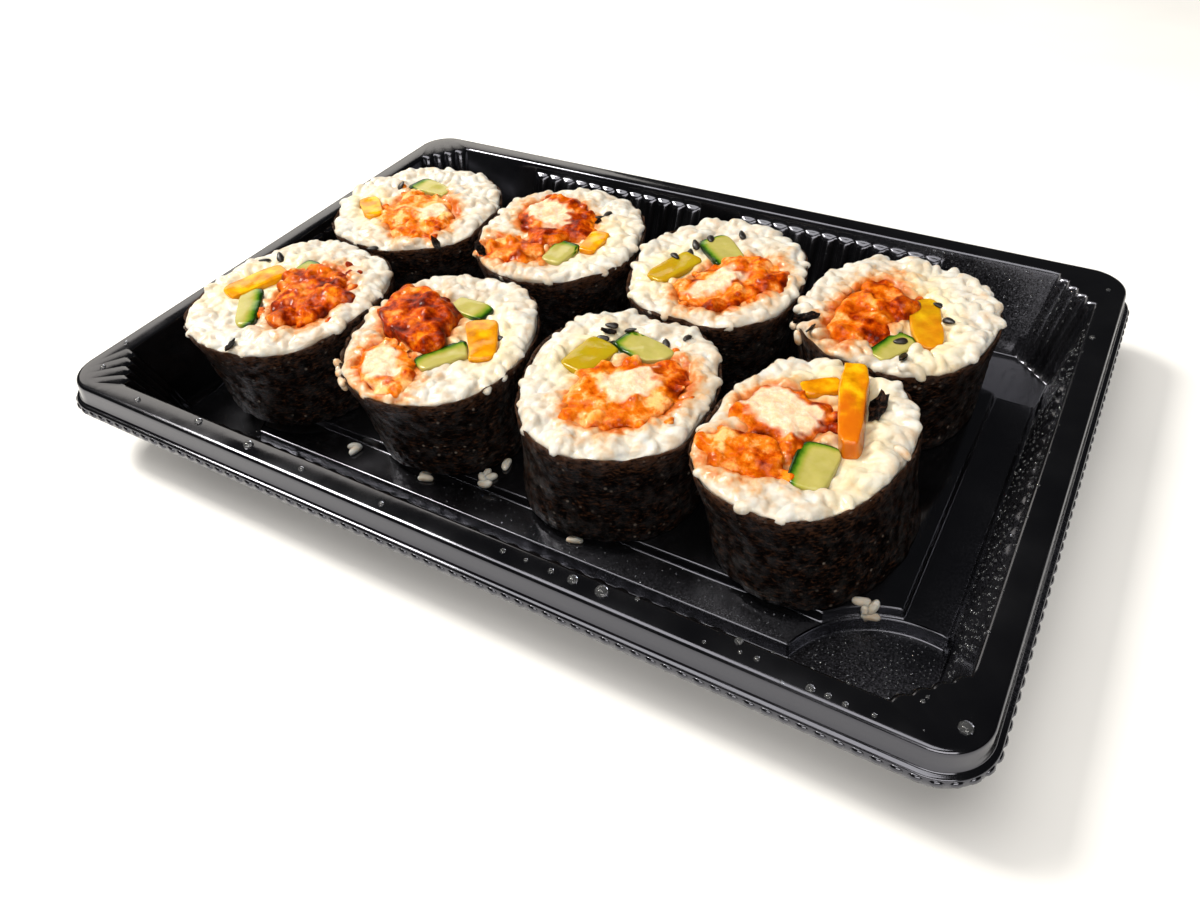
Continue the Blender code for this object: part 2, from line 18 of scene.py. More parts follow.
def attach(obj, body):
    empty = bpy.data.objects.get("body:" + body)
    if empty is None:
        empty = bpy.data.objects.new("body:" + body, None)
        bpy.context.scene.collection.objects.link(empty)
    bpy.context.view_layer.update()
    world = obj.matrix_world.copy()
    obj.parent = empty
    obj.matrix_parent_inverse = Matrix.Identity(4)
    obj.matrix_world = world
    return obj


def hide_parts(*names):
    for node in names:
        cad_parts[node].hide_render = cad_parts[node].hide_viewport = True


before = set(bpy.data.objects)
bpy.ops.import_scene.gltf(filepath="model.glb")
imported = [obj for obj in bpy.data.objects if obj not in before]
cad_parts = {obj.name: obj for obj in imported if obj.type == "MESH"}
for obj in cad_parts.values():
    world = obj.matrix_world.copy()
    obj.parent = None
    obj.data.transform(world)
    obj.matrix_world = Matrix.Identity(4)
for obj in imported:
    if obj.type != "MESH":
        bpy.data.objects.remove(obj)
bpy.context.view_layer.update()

MM = 0.001
GAP = 0.3

# The tray, as its solid has it
RIM_X = 109.0
RIM_Y = 75.8
RIM_CORNER = 9.0
MOUTH_X = 103.1
MOUTH_Y = 70.0
MOUTH_CORNER_X = 93.0
MOUTH_CORNER_Y = 59.6
FLOOR_X = 98.7
FLOOR_Y = 61.6
FLOOR_CORNER_X = 89.4
FLOOR_CORNER_Y = 52.9
BAND_X = 97.4
BAND_Y = 54.4
PLATEAU_X = 88.2
PLATEAU_Y = 45.5
WELL_X = 93.0
WELL_Y = 61.5
WELL_RADIUS = 23.0
SHELL = 0.7
RIM_Z = 22.7
WELL_Z = SHELL
BAND_Z = 3.7
SIDE_FOLD_Z = 3.1
PLATEAU_Z = 5.7
SKIRT_DROP = 4.9
SKIRT_DRAFT = 0.6
LIP_REACH = 2.4
LIP_DROP = 7.4
FLUTE_PITCH = 4.85
FLUTE_DEPTH = 1.3
LONG_FLUTES = (6.5, 64.7)
SHORT_FLUTES_TO = 29.1
FLUTE_TOP_DROP = 2.9
CORNER_FLUTES = 4
CORNER_FLUTE_DEPTH = 1.0
BEAD_PITCH = 3.1
BEAD_SIZE = (2.5, 1.3, 1.9)
RIB_ROUNDNESS = 0.8
ALONG_DIAGONAL = 0.71
CORNER_OUTSET = 0.41

# Points along one quarter of the tray's edge
CORNER_STEPS = 48
CORNER_SHARES = [i / CORNER_STEPS for i in range(CORNER_STEPS + 1)]
SHORT_END_STEPS = 10
LONG_END_STEPS = 12
STEP = FLUTE_PITCH / 10
SHORT_PLACES = [STEP * (k + 0.5) for k in range(round(SHORT_FLUTES_TO / STEP) + 1)]
LONG_PLACES = [STEP * (k + 0.5) for k in range(round(LONG_FLUTES[1] / STEP) + 2)]

# The rolls, as their solids have them
FACE_Z = RIM_Z + 7.0
STAND_Z = PLATEAU_Z + GAP
NORI = 0.5
NORI_SHORT_OF_FACE = 0.5
NORI_WAVE = 0.3
NORI_CLEAR = 0.1
NORI_BROWNED = 7.0
NORI_ROWS = 30
SQUARENESS = 2.3
CUT_SQUARENESS = 5.0
ROLL_SIDES = 150
NEAR = 60.0
WELL_CLEAR = 34.0
FILLING_SIDES = 48

# Cooked short-grain rice: a grain is longest along X, and lies this deep in the heap
GRAIN_SIZE = (5.0, 2.6, 2.4)
GRAIN_SPACING = 2.1
GRAIN_SUNK = 0.45
FILM_VOXEL = 0.36
RICE_DEPTH = 3.0
FACE_RINGS = 16

# How far a sauce spreads through the rice
STAIN_REACH = {"chicken": 8.0, "crust": 11.0}

# The vegetables stand this far clear of the grains round them, and a cucumber's green goes this deep
VEGETABLE_LIFT = 0.35
SKIN_DEPTH = 3.2

# The chicken's coat: sizes of its lumps, lumps to a square millimetre, how low they sit, how far they melt
# together, and how deep its finest grit is
Coat = namedtuple("Coat", "sizes crowding sag melting grit")
CRAGGY_COAT = Coat((1.2, 1.8, 2.6, 3.4, 4.2, 5.0), 0.075, 0.4, 4, 0.2)
STICKY_COAT = Coat((3.0, 3.8, 4.6, 5.4), 0.035, 1.3, 8, 0.1)
STICKY_GLAZE = 0.8
COAT_VOXEL = 0.34
LUMP_TRIES = 700
TUCK_IN = 2.4

# Small things on the food and the tray
SEED_LENGTH = 3.4
SEED_WIDTH = 1.9
SEED_HEIGHT = 1.0
DROP_HEIGHT = 0.42

Roll = namedtuple("Roll", "name x y width depth turn lean_x lean_y taper fillings")
Filling = namedtuple("Filling", "kind x y length width turn rise look")


def radish(x, y, length, width, turn, rise=0.6, stain=0.3, olive=0.0, point=0.1):
    return Filling("radish", x, y, length, width, turn, rise, {"stain": stain, "olive": olive, "point": point})


def cucumber(x, y, length, width, turn, rise=0.5, skin=150):
    return Filling("cucumber", x, y, length, width, turn, rise, {"skin": skin})


def chicken(x, y, length, width, turn, rise=1.6, meat=None, glaze=0.3):
    return Filling("chicken", x, y, length, width, turn, rise, {"meat": meat, "glaze": glaze})


def crust(x, y, length, width, turn, rise=1.6, meat=None, glaze=0.2):
    return Filling("crust", x, y, length, width, turn, rise, {"meat": meat, "glaze": glaze})


# Meat is the pale cut face within a piece of chicken: place, length, width and turn
ROLLS = (
    Roll("front_1", -74.0, -29.8, 46.6, 53.8, 0, 2.0, 2.0, 0.93, (
        radish(-11.0, -0.4, 16.4, 8.4, 71, stain=0.12),
        cucumber(-4.2, -9.8, 16.0, 6.2, 128, skin=38),
        cucumber(-3.8, 10.4, 7.0, 5.0, 94, skin=120),
        chicken(6.2, 0.4, 27.0, 18.0, 108, 2.4, glaze=0.68))),
    Roll("front_2", -27.6, -27.6, 44.4, 53.4, 14, 2.0, 2.5, 0.92, (
        radish(10.2, 1.8, 15.6, 8.6, 124, stain=0.25),
        cucumber(6.2, -7.2, 12.8, 6.6, 60, skin=140),
        cucumber(0.6, 11.4, 11.0, 6.4, -4, skin=0),
        chicken(-7.6, 1.2, 24.0, 17.0, 141, 4.6, glaze=1.0),
        crust(-3.4, -16.0, 18.0, 12.6, 136, 1.8, meat=(-0.5, -1.0, 14.0, 8.0, 136), glaze=0.1))),
    Roll("front_3", 18.4, -24.2, 44.2, 53.4, 18, -0.8, -0.4, 0.99, (
        radish(-9.8, 4.0, 13.0, 9.0, 81, stain=0.1, olive=1.0),
        cucumber(-0.2, 11.6, 14.0, 8.2, 169, skin=190),
        chicken(4.4, -3.2, 29.0, 21.0, 66, 1.8, meat=(-0.5, 1.5, 13.0, 9.0, 50), glaze=0.25))),
    Roll("front_4", 60.2, -22.8, 40.8, 52.4, -12, 5.0, -0.6, 0.95, (
        radish(6.8, 8.6, 25.4, 6.4, 106, 3.4, stain=0.85, point=0.3),
        radish(-1.8, 14.2, 8.6, 5.0, 37, stain=0.2),
        cucumber(5.2, -9.4, 13.0, 9.0, 94, skin=157),
        chicken(-5.6, 2.8, 19.0, 17.0, 166, 1.6, meat=(-0.5, 0.0, 16.5, 11.0, 160), glaze=0.45),
        crust(-7.6, -11.6, 16.0, 12.6, 11, 2.0, glaze=0.25))),
    Roll("back_1", -72.8, 20.8, 48.0, 49.6, 22, 1.0, 1.0, 0.93, (
        radish(-11.4, -6.8, 11.4, 6.0, 140, stain=0.1),
        cucumber(-2.6, 9.4, 12.4, 8.6, 168, skin=170),
        chicken(4.2, -4.2, 28.0, 20.0, 128, 1.6, meat=(3.0, 2.0, 9.0, 6.0, 60), glaze=0.12))),
    Roll("back_2", -27.2, 25.0, 45.4, 50.4, 16, 1.0, 1.5, 0.93, (
        radish(11.4, -1.6, 10.4, 5.6, 94, stain=0.4),
        cucumber(6.2, -9.8, 10.4, 7.4, 89, skin=114),
        chicken(-3.8, 4.2, 24.0, 19.0, 162, 2.0, meat=(-2.5, 0.5, 15.0, 9.0, 160), glaze=0.6),
        crust(-6.4, -13.6, 17.0, 11.4, 179, 1.6, glaze=0.3))),
    Roll("back_3", 19.0, 25.0, 44.0, 50.8, 8, 1.0, 0.5, 0.93, (
        radish(-10.0, -4.2, 15.0, 7.2, 72, stain=0.15, olive=0.9),
        cucumber(-2.4, 8.0, 14.0, 9.2, 138, skin=200),
        chicken(5.4, -5.4, 28.0, 19.0, 59, 1.8, meat=(-2.5, -2.0, 17.0, 7.0, 70), glaze=0.3))),
    Roll("back_4", 64.4, 25.2, 44.6, 47.6, -10, 0.5, 0.5, 0.92, (
        radish(6.8, -2.0, 19.4, 7.6, 109, stain=0.5, olive=0.4),
        cucumber(2.8, -13.8, 11.4, 6.4, 67, skin=130),
        chicken(-6.2, -3.6, 28.0, 14.6, 81, 2.0, glaze=0.4))),
)

# Black sesame on the rolls' faces: roll, place from its middle, and turn
SESAME = (
    ("front_1", -16.5, 7.8, 20), ("front_1", -13.3, 10.5, 70), ("front_2", 13.4, 4.6, 80),
    ("front_3", -10.1, 14.6, 95), ("front_3", -10.4, 10.9, 10), ("front_3", -8.2, 10.3, 60),
    ("front_3", -5.7, 15.8, 130), ("front_3", 3.3, 15.7, 160), ("front_3", 7.4, 18.1, 40),
    ("front_3", 19.1, -20.0, 50),
    ("back_1", -10.7, 6.1, 90), ("back_1", 3.4, -24.1, 30), ("back_2", 6.5, 10.1, 60),
    ("back_2", 7.4, 12.6, 20),
    ("back_3", -11.7, -0.1, 150), ("back_3", -9.1, 6.5, 110), ("back_3", -9.6, 4.2, 70),
    ("back_3", -7.1, 11.3, 20), ("back_3", -0.4, 16.0, 50),
    ("back_4", 7.7, 5.1, 80), ("back_4", 11.6, -1.9, 40), ("back_4", 3.8, -11.9, 170),
)

# Flakes of seaweed on the faces: roll, place, turn and length
FLAKES = (
    ("front_4", 10.8, 11.9, 112, 8.5), ("back_4", 6.6, -19.0, 35, 5.0), ("back_2", 7.0, 8.4, 50, 4.0),
    ("front_3", -9.8, 12.6, 120, 4.0), ("back_1", 18.4, -15.8, 40, 6.0), ("back_2", -13.6, -18.0, 120, 6.0),
    ("back_4", -17.8, -12.6, 40, 6.5), ("back_4", -14.6, -17.0, 10, 4.5), ("front_1", 5.0, -24.6, 10, 5.0),
)

# Grains that cling to the rolls' sides: roll, direction from its middle, distance below its face, and turn
SIDE_GRAINS = (
    ("front_2", -121, 0.9, 20), ("front_2", -125, 2.2, 80), ("front_2", -117, 2.6, 130),
    ("front_2", -129, 1.0, 60),
    ("front_2", -114, 1.2, 10), ("front_2", -122, 3.4, 50), ("front_4", 6, 0.2, 85), ("back_4", -146, 0.9, 30),
    ("back_4", -138, 2.0, 100),
)

# Grains that fell off the rolls onto the tray's floor: place and turn
LOOSE_GRAINS = (
    (-44.0, -48.2, 20), (-43.2, -49.2, 80), (-22.2, -48.1, 75), (-21.2, -49.2, 20), (-7.4, -44.8, 150),
    (-6.2, -43.9, 60), (-7.4, -43.4, 110), (-6.2, -45.4, 20), (-5.3, -38.4, 100), (20.4, -49.9, 20),
    (82.6, -39.4, 50), (81.6, -40.2, 100), (82.8, -40.6, 170), (80.4, -39.8, 20),
)

# Large drops of water on the rim: place and size across
RIM_DROPS = (
    (19.6, -72.4, 1.3), (24.8, -72.3, 1.0), (30.4, -72.4, 1.3), (35.1, -72.3, 2.2), (41.2, -72.3, 2.8),
    (47.6, -70.8, 1.0), (62.1, -73.7, 0.9), (67.2, -70.8, 1.6), (68.3, -72.8, 0.9), (71.3, -72.7, 1.2),
    (81.1, -74.0, 1.7), (84.1, -74.0, 1.3), (87.0, -74.2, 1.2), (91.6, -74.0, 1.0), (104.6, -69.6, 2.6),
    (-102.8, -67.8, 1.5), (-106.2, -58.1, 1.3), (97.5, -68.0, 0.9), (104.6, 44.5, 1.4), (104.8, 66.7, 1.2),
    (-31.8, -72.9, 1.5), (-64.5, -71.8, 2.0), (-9.6, -73.2, 1.4), (-48.0, -72.4, 2.4), (-84.0, -72.8, 1.6),
)

# Patches of fine condensation: low corner, high corner, spacing, and the largest drop
MIST = (
    ((72, -66, 0), (97, -40, 2), 0.9, 0.5), ((-30, -53, 3), (70, -46.6, 4.2), 1.8, 0.45),
    ((98.5, -50, 3), (103, 50, 22), 1.7, 0.8), ((60, 60, 8), (100, 70, 22), 1.8, 0.7),
    ((-88, -61, 0), (-40, -56, 2), 2.6, 0.5), ((60, -75, 22), (108, -66, 23), 6.0, 0.8),
    ((103.5, -60, 22), (108.5, 60, 23), 9.0, 0.8),
)

def mix(a, b, share):
    return a + (b - a) * share


def clip(values):
    return np.clip(values, 0.0, 1.0)


def smooth(value, low, high):
    """Rises softly from 0 at the low value to 1 at the high one."""
    share = min(max((value - low) / (high - low), 0.0), 1.0)
    return share * share * (3 - 2 * share)


def round_angles(sides, start=0.0):
    return [math.tau * (i + start) / sides for i in range(sides)]


# Materials


def colour(hex_text):
    """A linear colour from an sRGB hex value."""
    channels = [int(hex_text[i:i + 2], 16) / 255 for i in (0, 2, 4)]
    return (*(c / 12.92 if c <= 0.04045 else ((c + 0.055) / 1.055) ** 2.4 for c in channels), 1.0)


def feed(tree, node, inputs):
    """Puts a value or a link on each named input of a node."""
    for name, value in inputs.items():
        if isinstance(value, bpy.types.NodeSocket):
            tree.links.new(value, node.inputs[name])
        else:
            node.inputs[name].default_value = value


def add(tree, kind, inputs=None, **settings):
    """Adds a node with its settings and inputs."""
    made = tree.nodes.new(kind)
    for name, value in settings.items():
        setattr(made, name, value)
    feed(tree, made, inputs or {})
    return made


class Paint:
    """A material in the making. Most methods add a node and give its output."""

    def __init__(self, name, roughness, ior=1.5):
        self.mat = bpy.data.materials.new(name)
        self.mat.use_nodes = True
        self.tree = self.mat.node_tree
        self.give({"Roughness": roughness, "IOR": ior})

    def give(self, inputs):
        """Sets the shader's own inputs."""
        feed(self.tree, self.tree.nodes["Principled BSDF"], inputs)

    def moist(self, inside, radius, depth_mm, coat, coat_roughness):
        """Lets light some way into the surface and wets it."""
        self.give({"Subsurface Weight": inside, "Subsurface Radius": radius, "Subsurface Scale": depth_mm * MM,
                   "Coat Weight": coat, "Coat Roughness": coat_roughness})

    def place(self):
        return add(self.tree, "ShaderNodeTexCoord").outputs["Object"]

    def stretched(self, scale, turn=(0, 0, 0)):
        inputs = {"Vector": self.place(), "Rotation": turn, "Scale": scale}
        return add(self.tree, "ShaderNodeMapping", inputs).outputs["Vector"]

    def attribute(self, name):
        return add(self.tree, "ShaderNodeAttribute", attribute_name=name).outputs["Fac"]

    def noise(self, size_mm, detail=2.0, rough=0.5, place=None):
        """A noise whose blotches are about the given size."""
        return add(self.tree, "ShaderNodeTexNoise", {
            "Vector": self.place() if place is None else place, "Scale": 1 / (size_mm * MM),
            "Detail": detail, "Roughness": rough}).outputs["Fac"]

    def math(self, operation, *values):
        return add(self.tree, "ShaderNodeMath", dict(enumerate(values)), operation=operation).outputs[0]

    def spread(self, value, low, high, to_low=0.0, to_high=1.0):
        """Stretches one range of a value to another."""
        inputs = {"Value": value, "From Min": low, "From Max": high, "To Min": to_low, "To Max": to_high}
        return add(self.tree, "ShaderNodeMapRange", inputs).outputs["Result"]

    def blend(self, share, below, above, way="MIX"):
        inputs = {"Factor": share, "A": below, "B": above}
        return add(self.tree, "ShaderNodeMix", inputs, data_type="RGBA", blend_type=way).outputs["Result"]

    def shades(self, value, *stops):
        """A colour that runs through its stops as a value rises."""
        made = add(self.tree, "ShaderNodeValToRGB", {"Fac": value})
        ramp = made.color_ramp.elements
        while len(ramp) < len(stops):
            ramp.new(0.5)
        for element, (at, shade) in zip(ramp, stops):
            element.position = at
            element.color = colour(shade)
        return made.outputs["Color"]

    def bump(self, height, distance_mm, strength=1.0):
        inputs = {"Height": height, "Strength": strength, "Distance": distance_mm * MM}
        self.give({"Normal": add(self.tree, "ShaderNodeBump", inputs).outputs["Normal"]})


def tray_plastic():
    """Black polypropylene sheet, thermoformed and glossy: deep black with faint smears and a soft ripple."""
    paint = Paint("thermoformed_black_polypropylene", 0.16, 1.8)
    smears = paint.noise(16.0, 3.0)
    shade = paint.shades(smears, (0.3, "040405"), (0.75, "0A0A0B"))
    dew = paint.spread(paint.noise(0.4), 0.35, 0.7)
    frosted = paint.math("MULTIPLY", dew, paint.attribute("mist"))
    gloss = paint.spread(smears, 0.35, 0.75, 0.10, 0.26)
    paint.give({"Base Color": paint.blend(frosted, shade, colour("26262B")),
                "Roughness": paint.math("MULTIPLY_ADD", frosted, 0.3, gloss),
                "Specular Tint": colour("EDEFFF")})
    paint.bump(paint.noise(5.0), 0.06, 0.5)
    return paint.mat


def seaweed():
    """Roasted laver, pressed to a sheet: near black, with brown fibres near the cut edge and pale flecks that are
    painted glints.
    """
    paint = Paint("toasted_seaweed", 0.35, 1.4)
    fibres = paint.noise(1.3, 6.0, 0.7, paint.stretched((1, 1, 2.6), (0.5, 0.3, 0.2)))
    browned = paint.math("MULTIPLY_ADD", paint.attribute("edge"), 0.13, fibres)
    tone = paint.shades(browned, (0.40, "010101"), (0.49, "060404"), (0.55, "221510"), (0.63, "523626"))
    # Pale grey-cream flecks, dotted in patches: painted glints of the crinkled sheet, put in the colour.
    cells = add(paint.tree, "ShaderNodeTexVoronoi", {"Vector": paint.place(), "Scale": 1 / (2.2 * MM)},
                feature="F1")
    near = paint.spread(cells.outputs["Distance"], 0.10, 0.2, 1.0, 0.0)
    fleck = paint.math("MULTIPLY", near, paint.spread(paint.noise(7.0), 0.47, 0.6))
    paint.give({"Base Color": paint.blend(fleck, tone, colour("8C8076")),
                "Roughness": paint.spread(fibres, 0.3, 0.7, 0.22, 0.5),
                "Specular IOR Level": paint.spread(paint.noise(3.0, 4.0, 0.6), 0.45, 0.7, 0.03, 0.5)})
    paint.bump(paint.math("MULTIPLY_ADD", paint.noise(2.6, 4.0, 0.7), 1.6, fibres), 1.8)
    return paint.mat


def rice():
    """Short-grain rice, boiled and dressed with vinegar: moist, milky and stained orange by the chicken."""
    paint = Paint("vinegared_rice", 0.38, 1.36)
    milk = paint.shades(paint.noise(3.2), (0.32, "C0B4A2"), (0.5, "C8C3B8"), (0.68, "CECDC8"))
    blotch = paint.math("SUBTRACT", paint.noise(2.4, 3.0), 0.5)
    uneven = paint.math("MULTIPLY_ADD", blotch, 1.5, paint.attribute("stain"))
    orange = paint.shades(uneven, (0.0, "FFFFFF"), (0.3, "FFF2E6"), (0.55, "FFD9B2"), (0.8, "FCAA68"),
                          (1.0, "EC7E2A"))
    stained = paint.blend(1.0, milk, orange, "MULTIPLY")
    paint.give({"Base Color": paint.blend(paint.attribute("gold"), stained, colour("EEDCA4")),
                "Specular IOR Level": 0.4})
    paint.moist(0.8, (1.0, 0.8, 0.62), 0.9, 0.3, 0.08)
    paint.bump(paint.noise(1.2, 3.0), 0.22, 0.8)
    return paint.mat


def fried_chicken():
    """Chicken fried in batter and tossed in chilli sauce: pale meat in a craggy, sticky orange coat."""
    paint = Paint("fried_chicken_in_chilli_glaze", 0.3, 1.36)
    meat = paint.shades(paint.noise(1.6, 4.0, 0.6), (0.3, "DAB28E"), (0.5, "E0C2A2"), (0.7, "E8D4BE"))
    lumpy = paint.math("MULTIPLY_ADD", paint.noise(4.5), 1.4, paint.noise(1.5, 5.0, 0.65))
    crags = paint.spread(paint.math("ADD", lumpy, paint.attribute("pale")), 0.85, 1.6)
    batter = paint.shades(crags, (0.0, "9A3400"), (0.32, "C45400"), (0.6, "DA7814"), (0.88, "ECB070"))
    deep = paint.shades(crags, (0.1, "4C0C00"), (0.4, "842200"), (0.65, "B84600"), (0.95, "E68214"))
    coated = paint.blend(paint.attribute("coat"), meat, batter)
    # The deep colour is real sauce, and it is also painted shade, low on each piece and on its right side.
    paint.give({"Base Color": paint.blend(paint.attribute("glaze"), coated, deep), "Specular IOR Level": 0.05})
    paint.moist(0.4, (1.0, 0.4, 0.12), 1.2, 0.2, 0.04)
    paint.bump(paint.noise(0.7, 4.0, 0.6), 0.35, 0.8)
    return paint.mat


def pickled_radish():
    """White radish pickled yellow and cut in bars: wet, waxy and a little see-through."""
    paint = Paint("pickled_yellow_radish", 0.14, 1.34)
    fibres = paint.stretched((1, 1, 0.25))
    tone = paint.shades(paint.noise(3.4, 3.0, place=fibres), (0.32, "AE6C00"), (0.5, "CC8C02"),
                        (0.66, "E2B010"))
    greener = paint.blend(paint.attribute("olive"), tone, colour("A08C12"))
    paint.give({"Base Color": paint.blend(paint.attribute("stain"), greener, colour("C05A0A"))})
    paint.moist(0.5, (1.0, 0.7, 0.15), 2.0, 0.08, 0.1)
    paint.bump(paint.noise(0.8, 3.0, place=fibres), 0.1, 0.5)
    return paint.mat


def cut_cucumber():
    """Raw cucumber, cut in wedges: dark skin, a bright green layer under it, and pale wet flesh."""
    paint = Paint("cut_cucumber", 0.14, 1.34)
    veins = paint.noise(1.8, 3.0)
    uneven = paint.math("MULTIPLY_ADD", veins, 0.35, paint.attribute("skin"))
    paint.give({"Base Color": paint.shades(uneven, (0.1, "AAA05C"), (0.35, "9C9644"), (0.6, "7A8A2A"),
                                           (0.82, "3A660C"), (1.0, "142E06"))})
    paint.moist(0.3, (0.7, 1.0, 0.3), 2.0, 0.08, 0.1)
    paint.bump(veins, 0.15, 0.4)
    return paint.mat


def black_sesame():
    """Roasted black sesame seed: dull brown-black with a slight oily shine."""
    paint = Paint("roasted_black_sesame", 0.4, 1.47)
    paint.give({"Base Color": paint.shades(paint.noise(0.8), (0.35, "0E0C0B"), (0.7, "2C2622"))})
    paint.bump(paint.noise(0.4), 0.08, 0.5)
    return paint.mat


def water():
    """Clear water, condensed in drops: it shows only as glints and a darker, wet patch."""
    paint = Paint("condensed_water", 0.03, 1.33)
    paint.give({"Base Color": colour("F4F7FA"), "Transmission Weight": 0.96})
    return paint.mat


def table_top():
    """The studio's pale floor: matt white board."""
    paint = Paint("matt_white_board", 0.6)
    paint.give({"Base Color": paint.shades(paint.noise(60.0), (0.3, "ECECEC"), (0.7, "F2F2F2"))})
    return paint.mat


# Meshes


def show(name, data):
    """A new object in the scene."""
    obj = bpy.data.objects.new(name, data)
    bpy.context.scene.collection.objects.link(obj)
    return obj


def remove(*objects):
    for obj in objects:
        bpy.data.objects.remove(obj, do_unlink=True)


def end_edit(bm, name):
    """A plain mesh of an edited one."""
    mesh = bpy.data.meshes.new(name)
    bm.to_mesh(mesh)
    bm.free()
    return mesh


def make_piece(name, points, faces, mat=None):
    """An object from points in millimetres, smooth and with its faces outwards."""
    mesh = bpy.data.meshes.new(name)
    mesh.from_pydata([(x * MM, y * MM, z * MM) for x, y, z in points], [], faces)
    bm = bmesh.new()
    bm.from_mesh(mesh)
    bmesh.ops.recalc_face_normals(bm, faces=bm.faces)
    bm.to_mesh(mesh)
    bm.free()
    if mat:
        mesh.materials.append(mat)
    mesh.shade_smooth()
    return show(name, mesh)


def loft(rows, ring=False):
    """Points and faces of a closed skin through rows of as many points, capped or closed on itself."""
    count = len(rows[0])
    points = [point for row in rows for point in row]
    pairs = [(r, r + 1) for r in range(len(rows) - 1)]
    if ring:
        pairs.append((len(rows) - 1, 0))
    faces = []
    for low, high in pairs:
        for i in range(count):
            after = (i + 1) % count
            faces.append((low * count + i, low * count + after, high * count + after, high * count + i))
    if not ring:
        for row in (0, len(rows) - 1):
            middle = len(points)
            points.append(tuple(sum(p[k] for p in rows[row]) / count for k in range(3)))
            faces += [(row * count + i, row * count + (i + 1) % count, middle) for i in range(count)]
    return points, faces


def make_loft(name, rows, mat=None, ring=False):
    return make_piece(name, *loft(rows, ring), mat)


def evaluated(obj):
    """A plain mesh of an object with its modifiers worked in."""
    bpy.context.view_layer.update()
    depsgraph = bpy.context.evaluated_depsgraph_get()
    return bpy.data.meshes.new_from_object(obj.evaluated_get(depsgraph), preserve_all_data_layers=True,
                                           depsgraph=depsgraph)


def work_in(obj):
    """Turns an object's modifiers into its plain mesh."""
    old, mesh = obj.data, evaluated(obj)
    obj.modifiers.clear()
    obj.data = mesh
    bpy.data.meshes.remove(old)


def join_pieces(name, pieces, mat):
    """One object of several, each a loose part of its mesh."""
    pieces = [piece for piece in pieces if piece]
    bm = bmesh.new()
    for piece in pieces:
        bm.from_mesh(piece.data)
    mesh = end_edit(bm, name)
    remove(*pieces)
    mesh.materials.append(mat)
    for polygon in mesh.polygons:
        polygon.material_index = 0
    mesh.shade_smooth()
    return show(name, mesh)


def places_of(obj):
    """The object's points, in millimetres."""
    places = np.empty(len(obj.data.vertices) * 3, dtype=np.float32)
    obj.data.vertices.foreach_get("co", places)
    return places.reshape(-1, 3) / MM


def noise_over(places, scale, shift=0.0):
    return np.array([noise.noise(Vector(p) * scale + Vector((shift, 0, 0))) for p in places])


def set_attributes(obj, **values):
    """Sets attributes of an object's points, each to one value or to a value for every point."""
    for name, value in values.items():
        attribute = obj.data.attributes.get(name) or obj.data.attributes.new(name, "FLOAT", "POINT")
        spread_out = np.broadcast_to(np.asarray(value, dtype=np.float32), len(obj.data.vertices))
        attribute.data.foreach_set("value", np.ascontiguousarray(spread_out))


def push_out(obj, amount_at, above=0.0):
    """Moves each point above a height along its normal, by an amount in millimetres."""
    normals = [v.normal.copy() for v in obj.data.vertices]
    for vert, normal in zip(obj.data.vertices, normals):
        if vert.co.z > above * MM:
            vert.co += normal * (amount_at(vert.co) * MM)


def rumple(obj, size_mm, depth_mm, seed=0.0, above=0.0):
    """Makes a surface uneven by a soft noise."""
    shift = Vector((seed, seed, seed))
    push_out(obj, lambda place: noise.noise(place / (size_mm * MM) + shift) * depth_mm, above)


def fuse(obj, voxel_mm, smoothing):
    """Melts the overlapping parts of an object into one skin and smooths it."""
    remesh = obj.modifiers.new("fuse", "REMESH")
    remesh.mode = "VOXEL"
    remesh.voxel_size = voxel_mm * MM
    soften = obj.modifiers.new("soften", "SMOOTH")
    soften.factor = 0.5
    soften.iterations = smoothing
    work_in(obj)


# The tray


def around(quarter):
    """A whole loop from the points of its first quarter, which run from the +X side to the +Y side."""
    back = [(-x, y, z) for x, y, z in reversed(quarter)]
    left = [(-x, -y, z) for x, y, z in quarter]
    front = [(x, -y, z) for x, y, z in reversed(quarter)]
    return quarter + back + left + front


def spread(start, end, steps):
    """Places from just after the start up to just before the end."""
    return [mix(start, end, (i + 1) / (steps + 1)) for i in range(steps)]


def quarter_loop(side_x, side_y, corner, z_at, side_depth=None, back_depth=None):
    """A quarter of a loop: the right side, its corner's points, and half of the back."""
    points = [(side_x - (side_depth(y) if side_depth else 0.0), y) for y in SHORT_PLACES]
    points += [(side_x, y) for y in spread(SHORT_PLACES[-1], corner[0][1], SHORT_END_STEPS)]
    points += corner
    points += [(x, side_y) for x in spread(corner[-1][0], LONG_PLACES[-1], LONG_END_STEPS)]
    points += [(x, side_y - (back_depth(x) if back_depth else 0.0)) for x in reversed(LONG_PLACES)]
    return around([(x, y, z_at(x, y)) for x, y in points])


def rib(along, start, end):
    """How far a rounded rib stands in at a place: full along its crest, nothing in the groove."""
    if not start < along < end:
        return 0.0
    return abs(math.sin(math.pi * (along - start) / FLUTE_PITCH)) ** RIB_ROUNDNESS


def rim_loop(outset, z):
    radius = RIM_CORNER + outset
    corner = [(RIM_X - RIM_CORNER + radius * math.cos(math.pi / 2 * share),
               RIM_Y - RIM_CORNER + radius * math.sin(math.pi / 2 * share)) for share in CORNER_SHARES]
    return quarter_loop(RIM_X + outset, RIM_Y + outset, corner, lambda x, y: z)


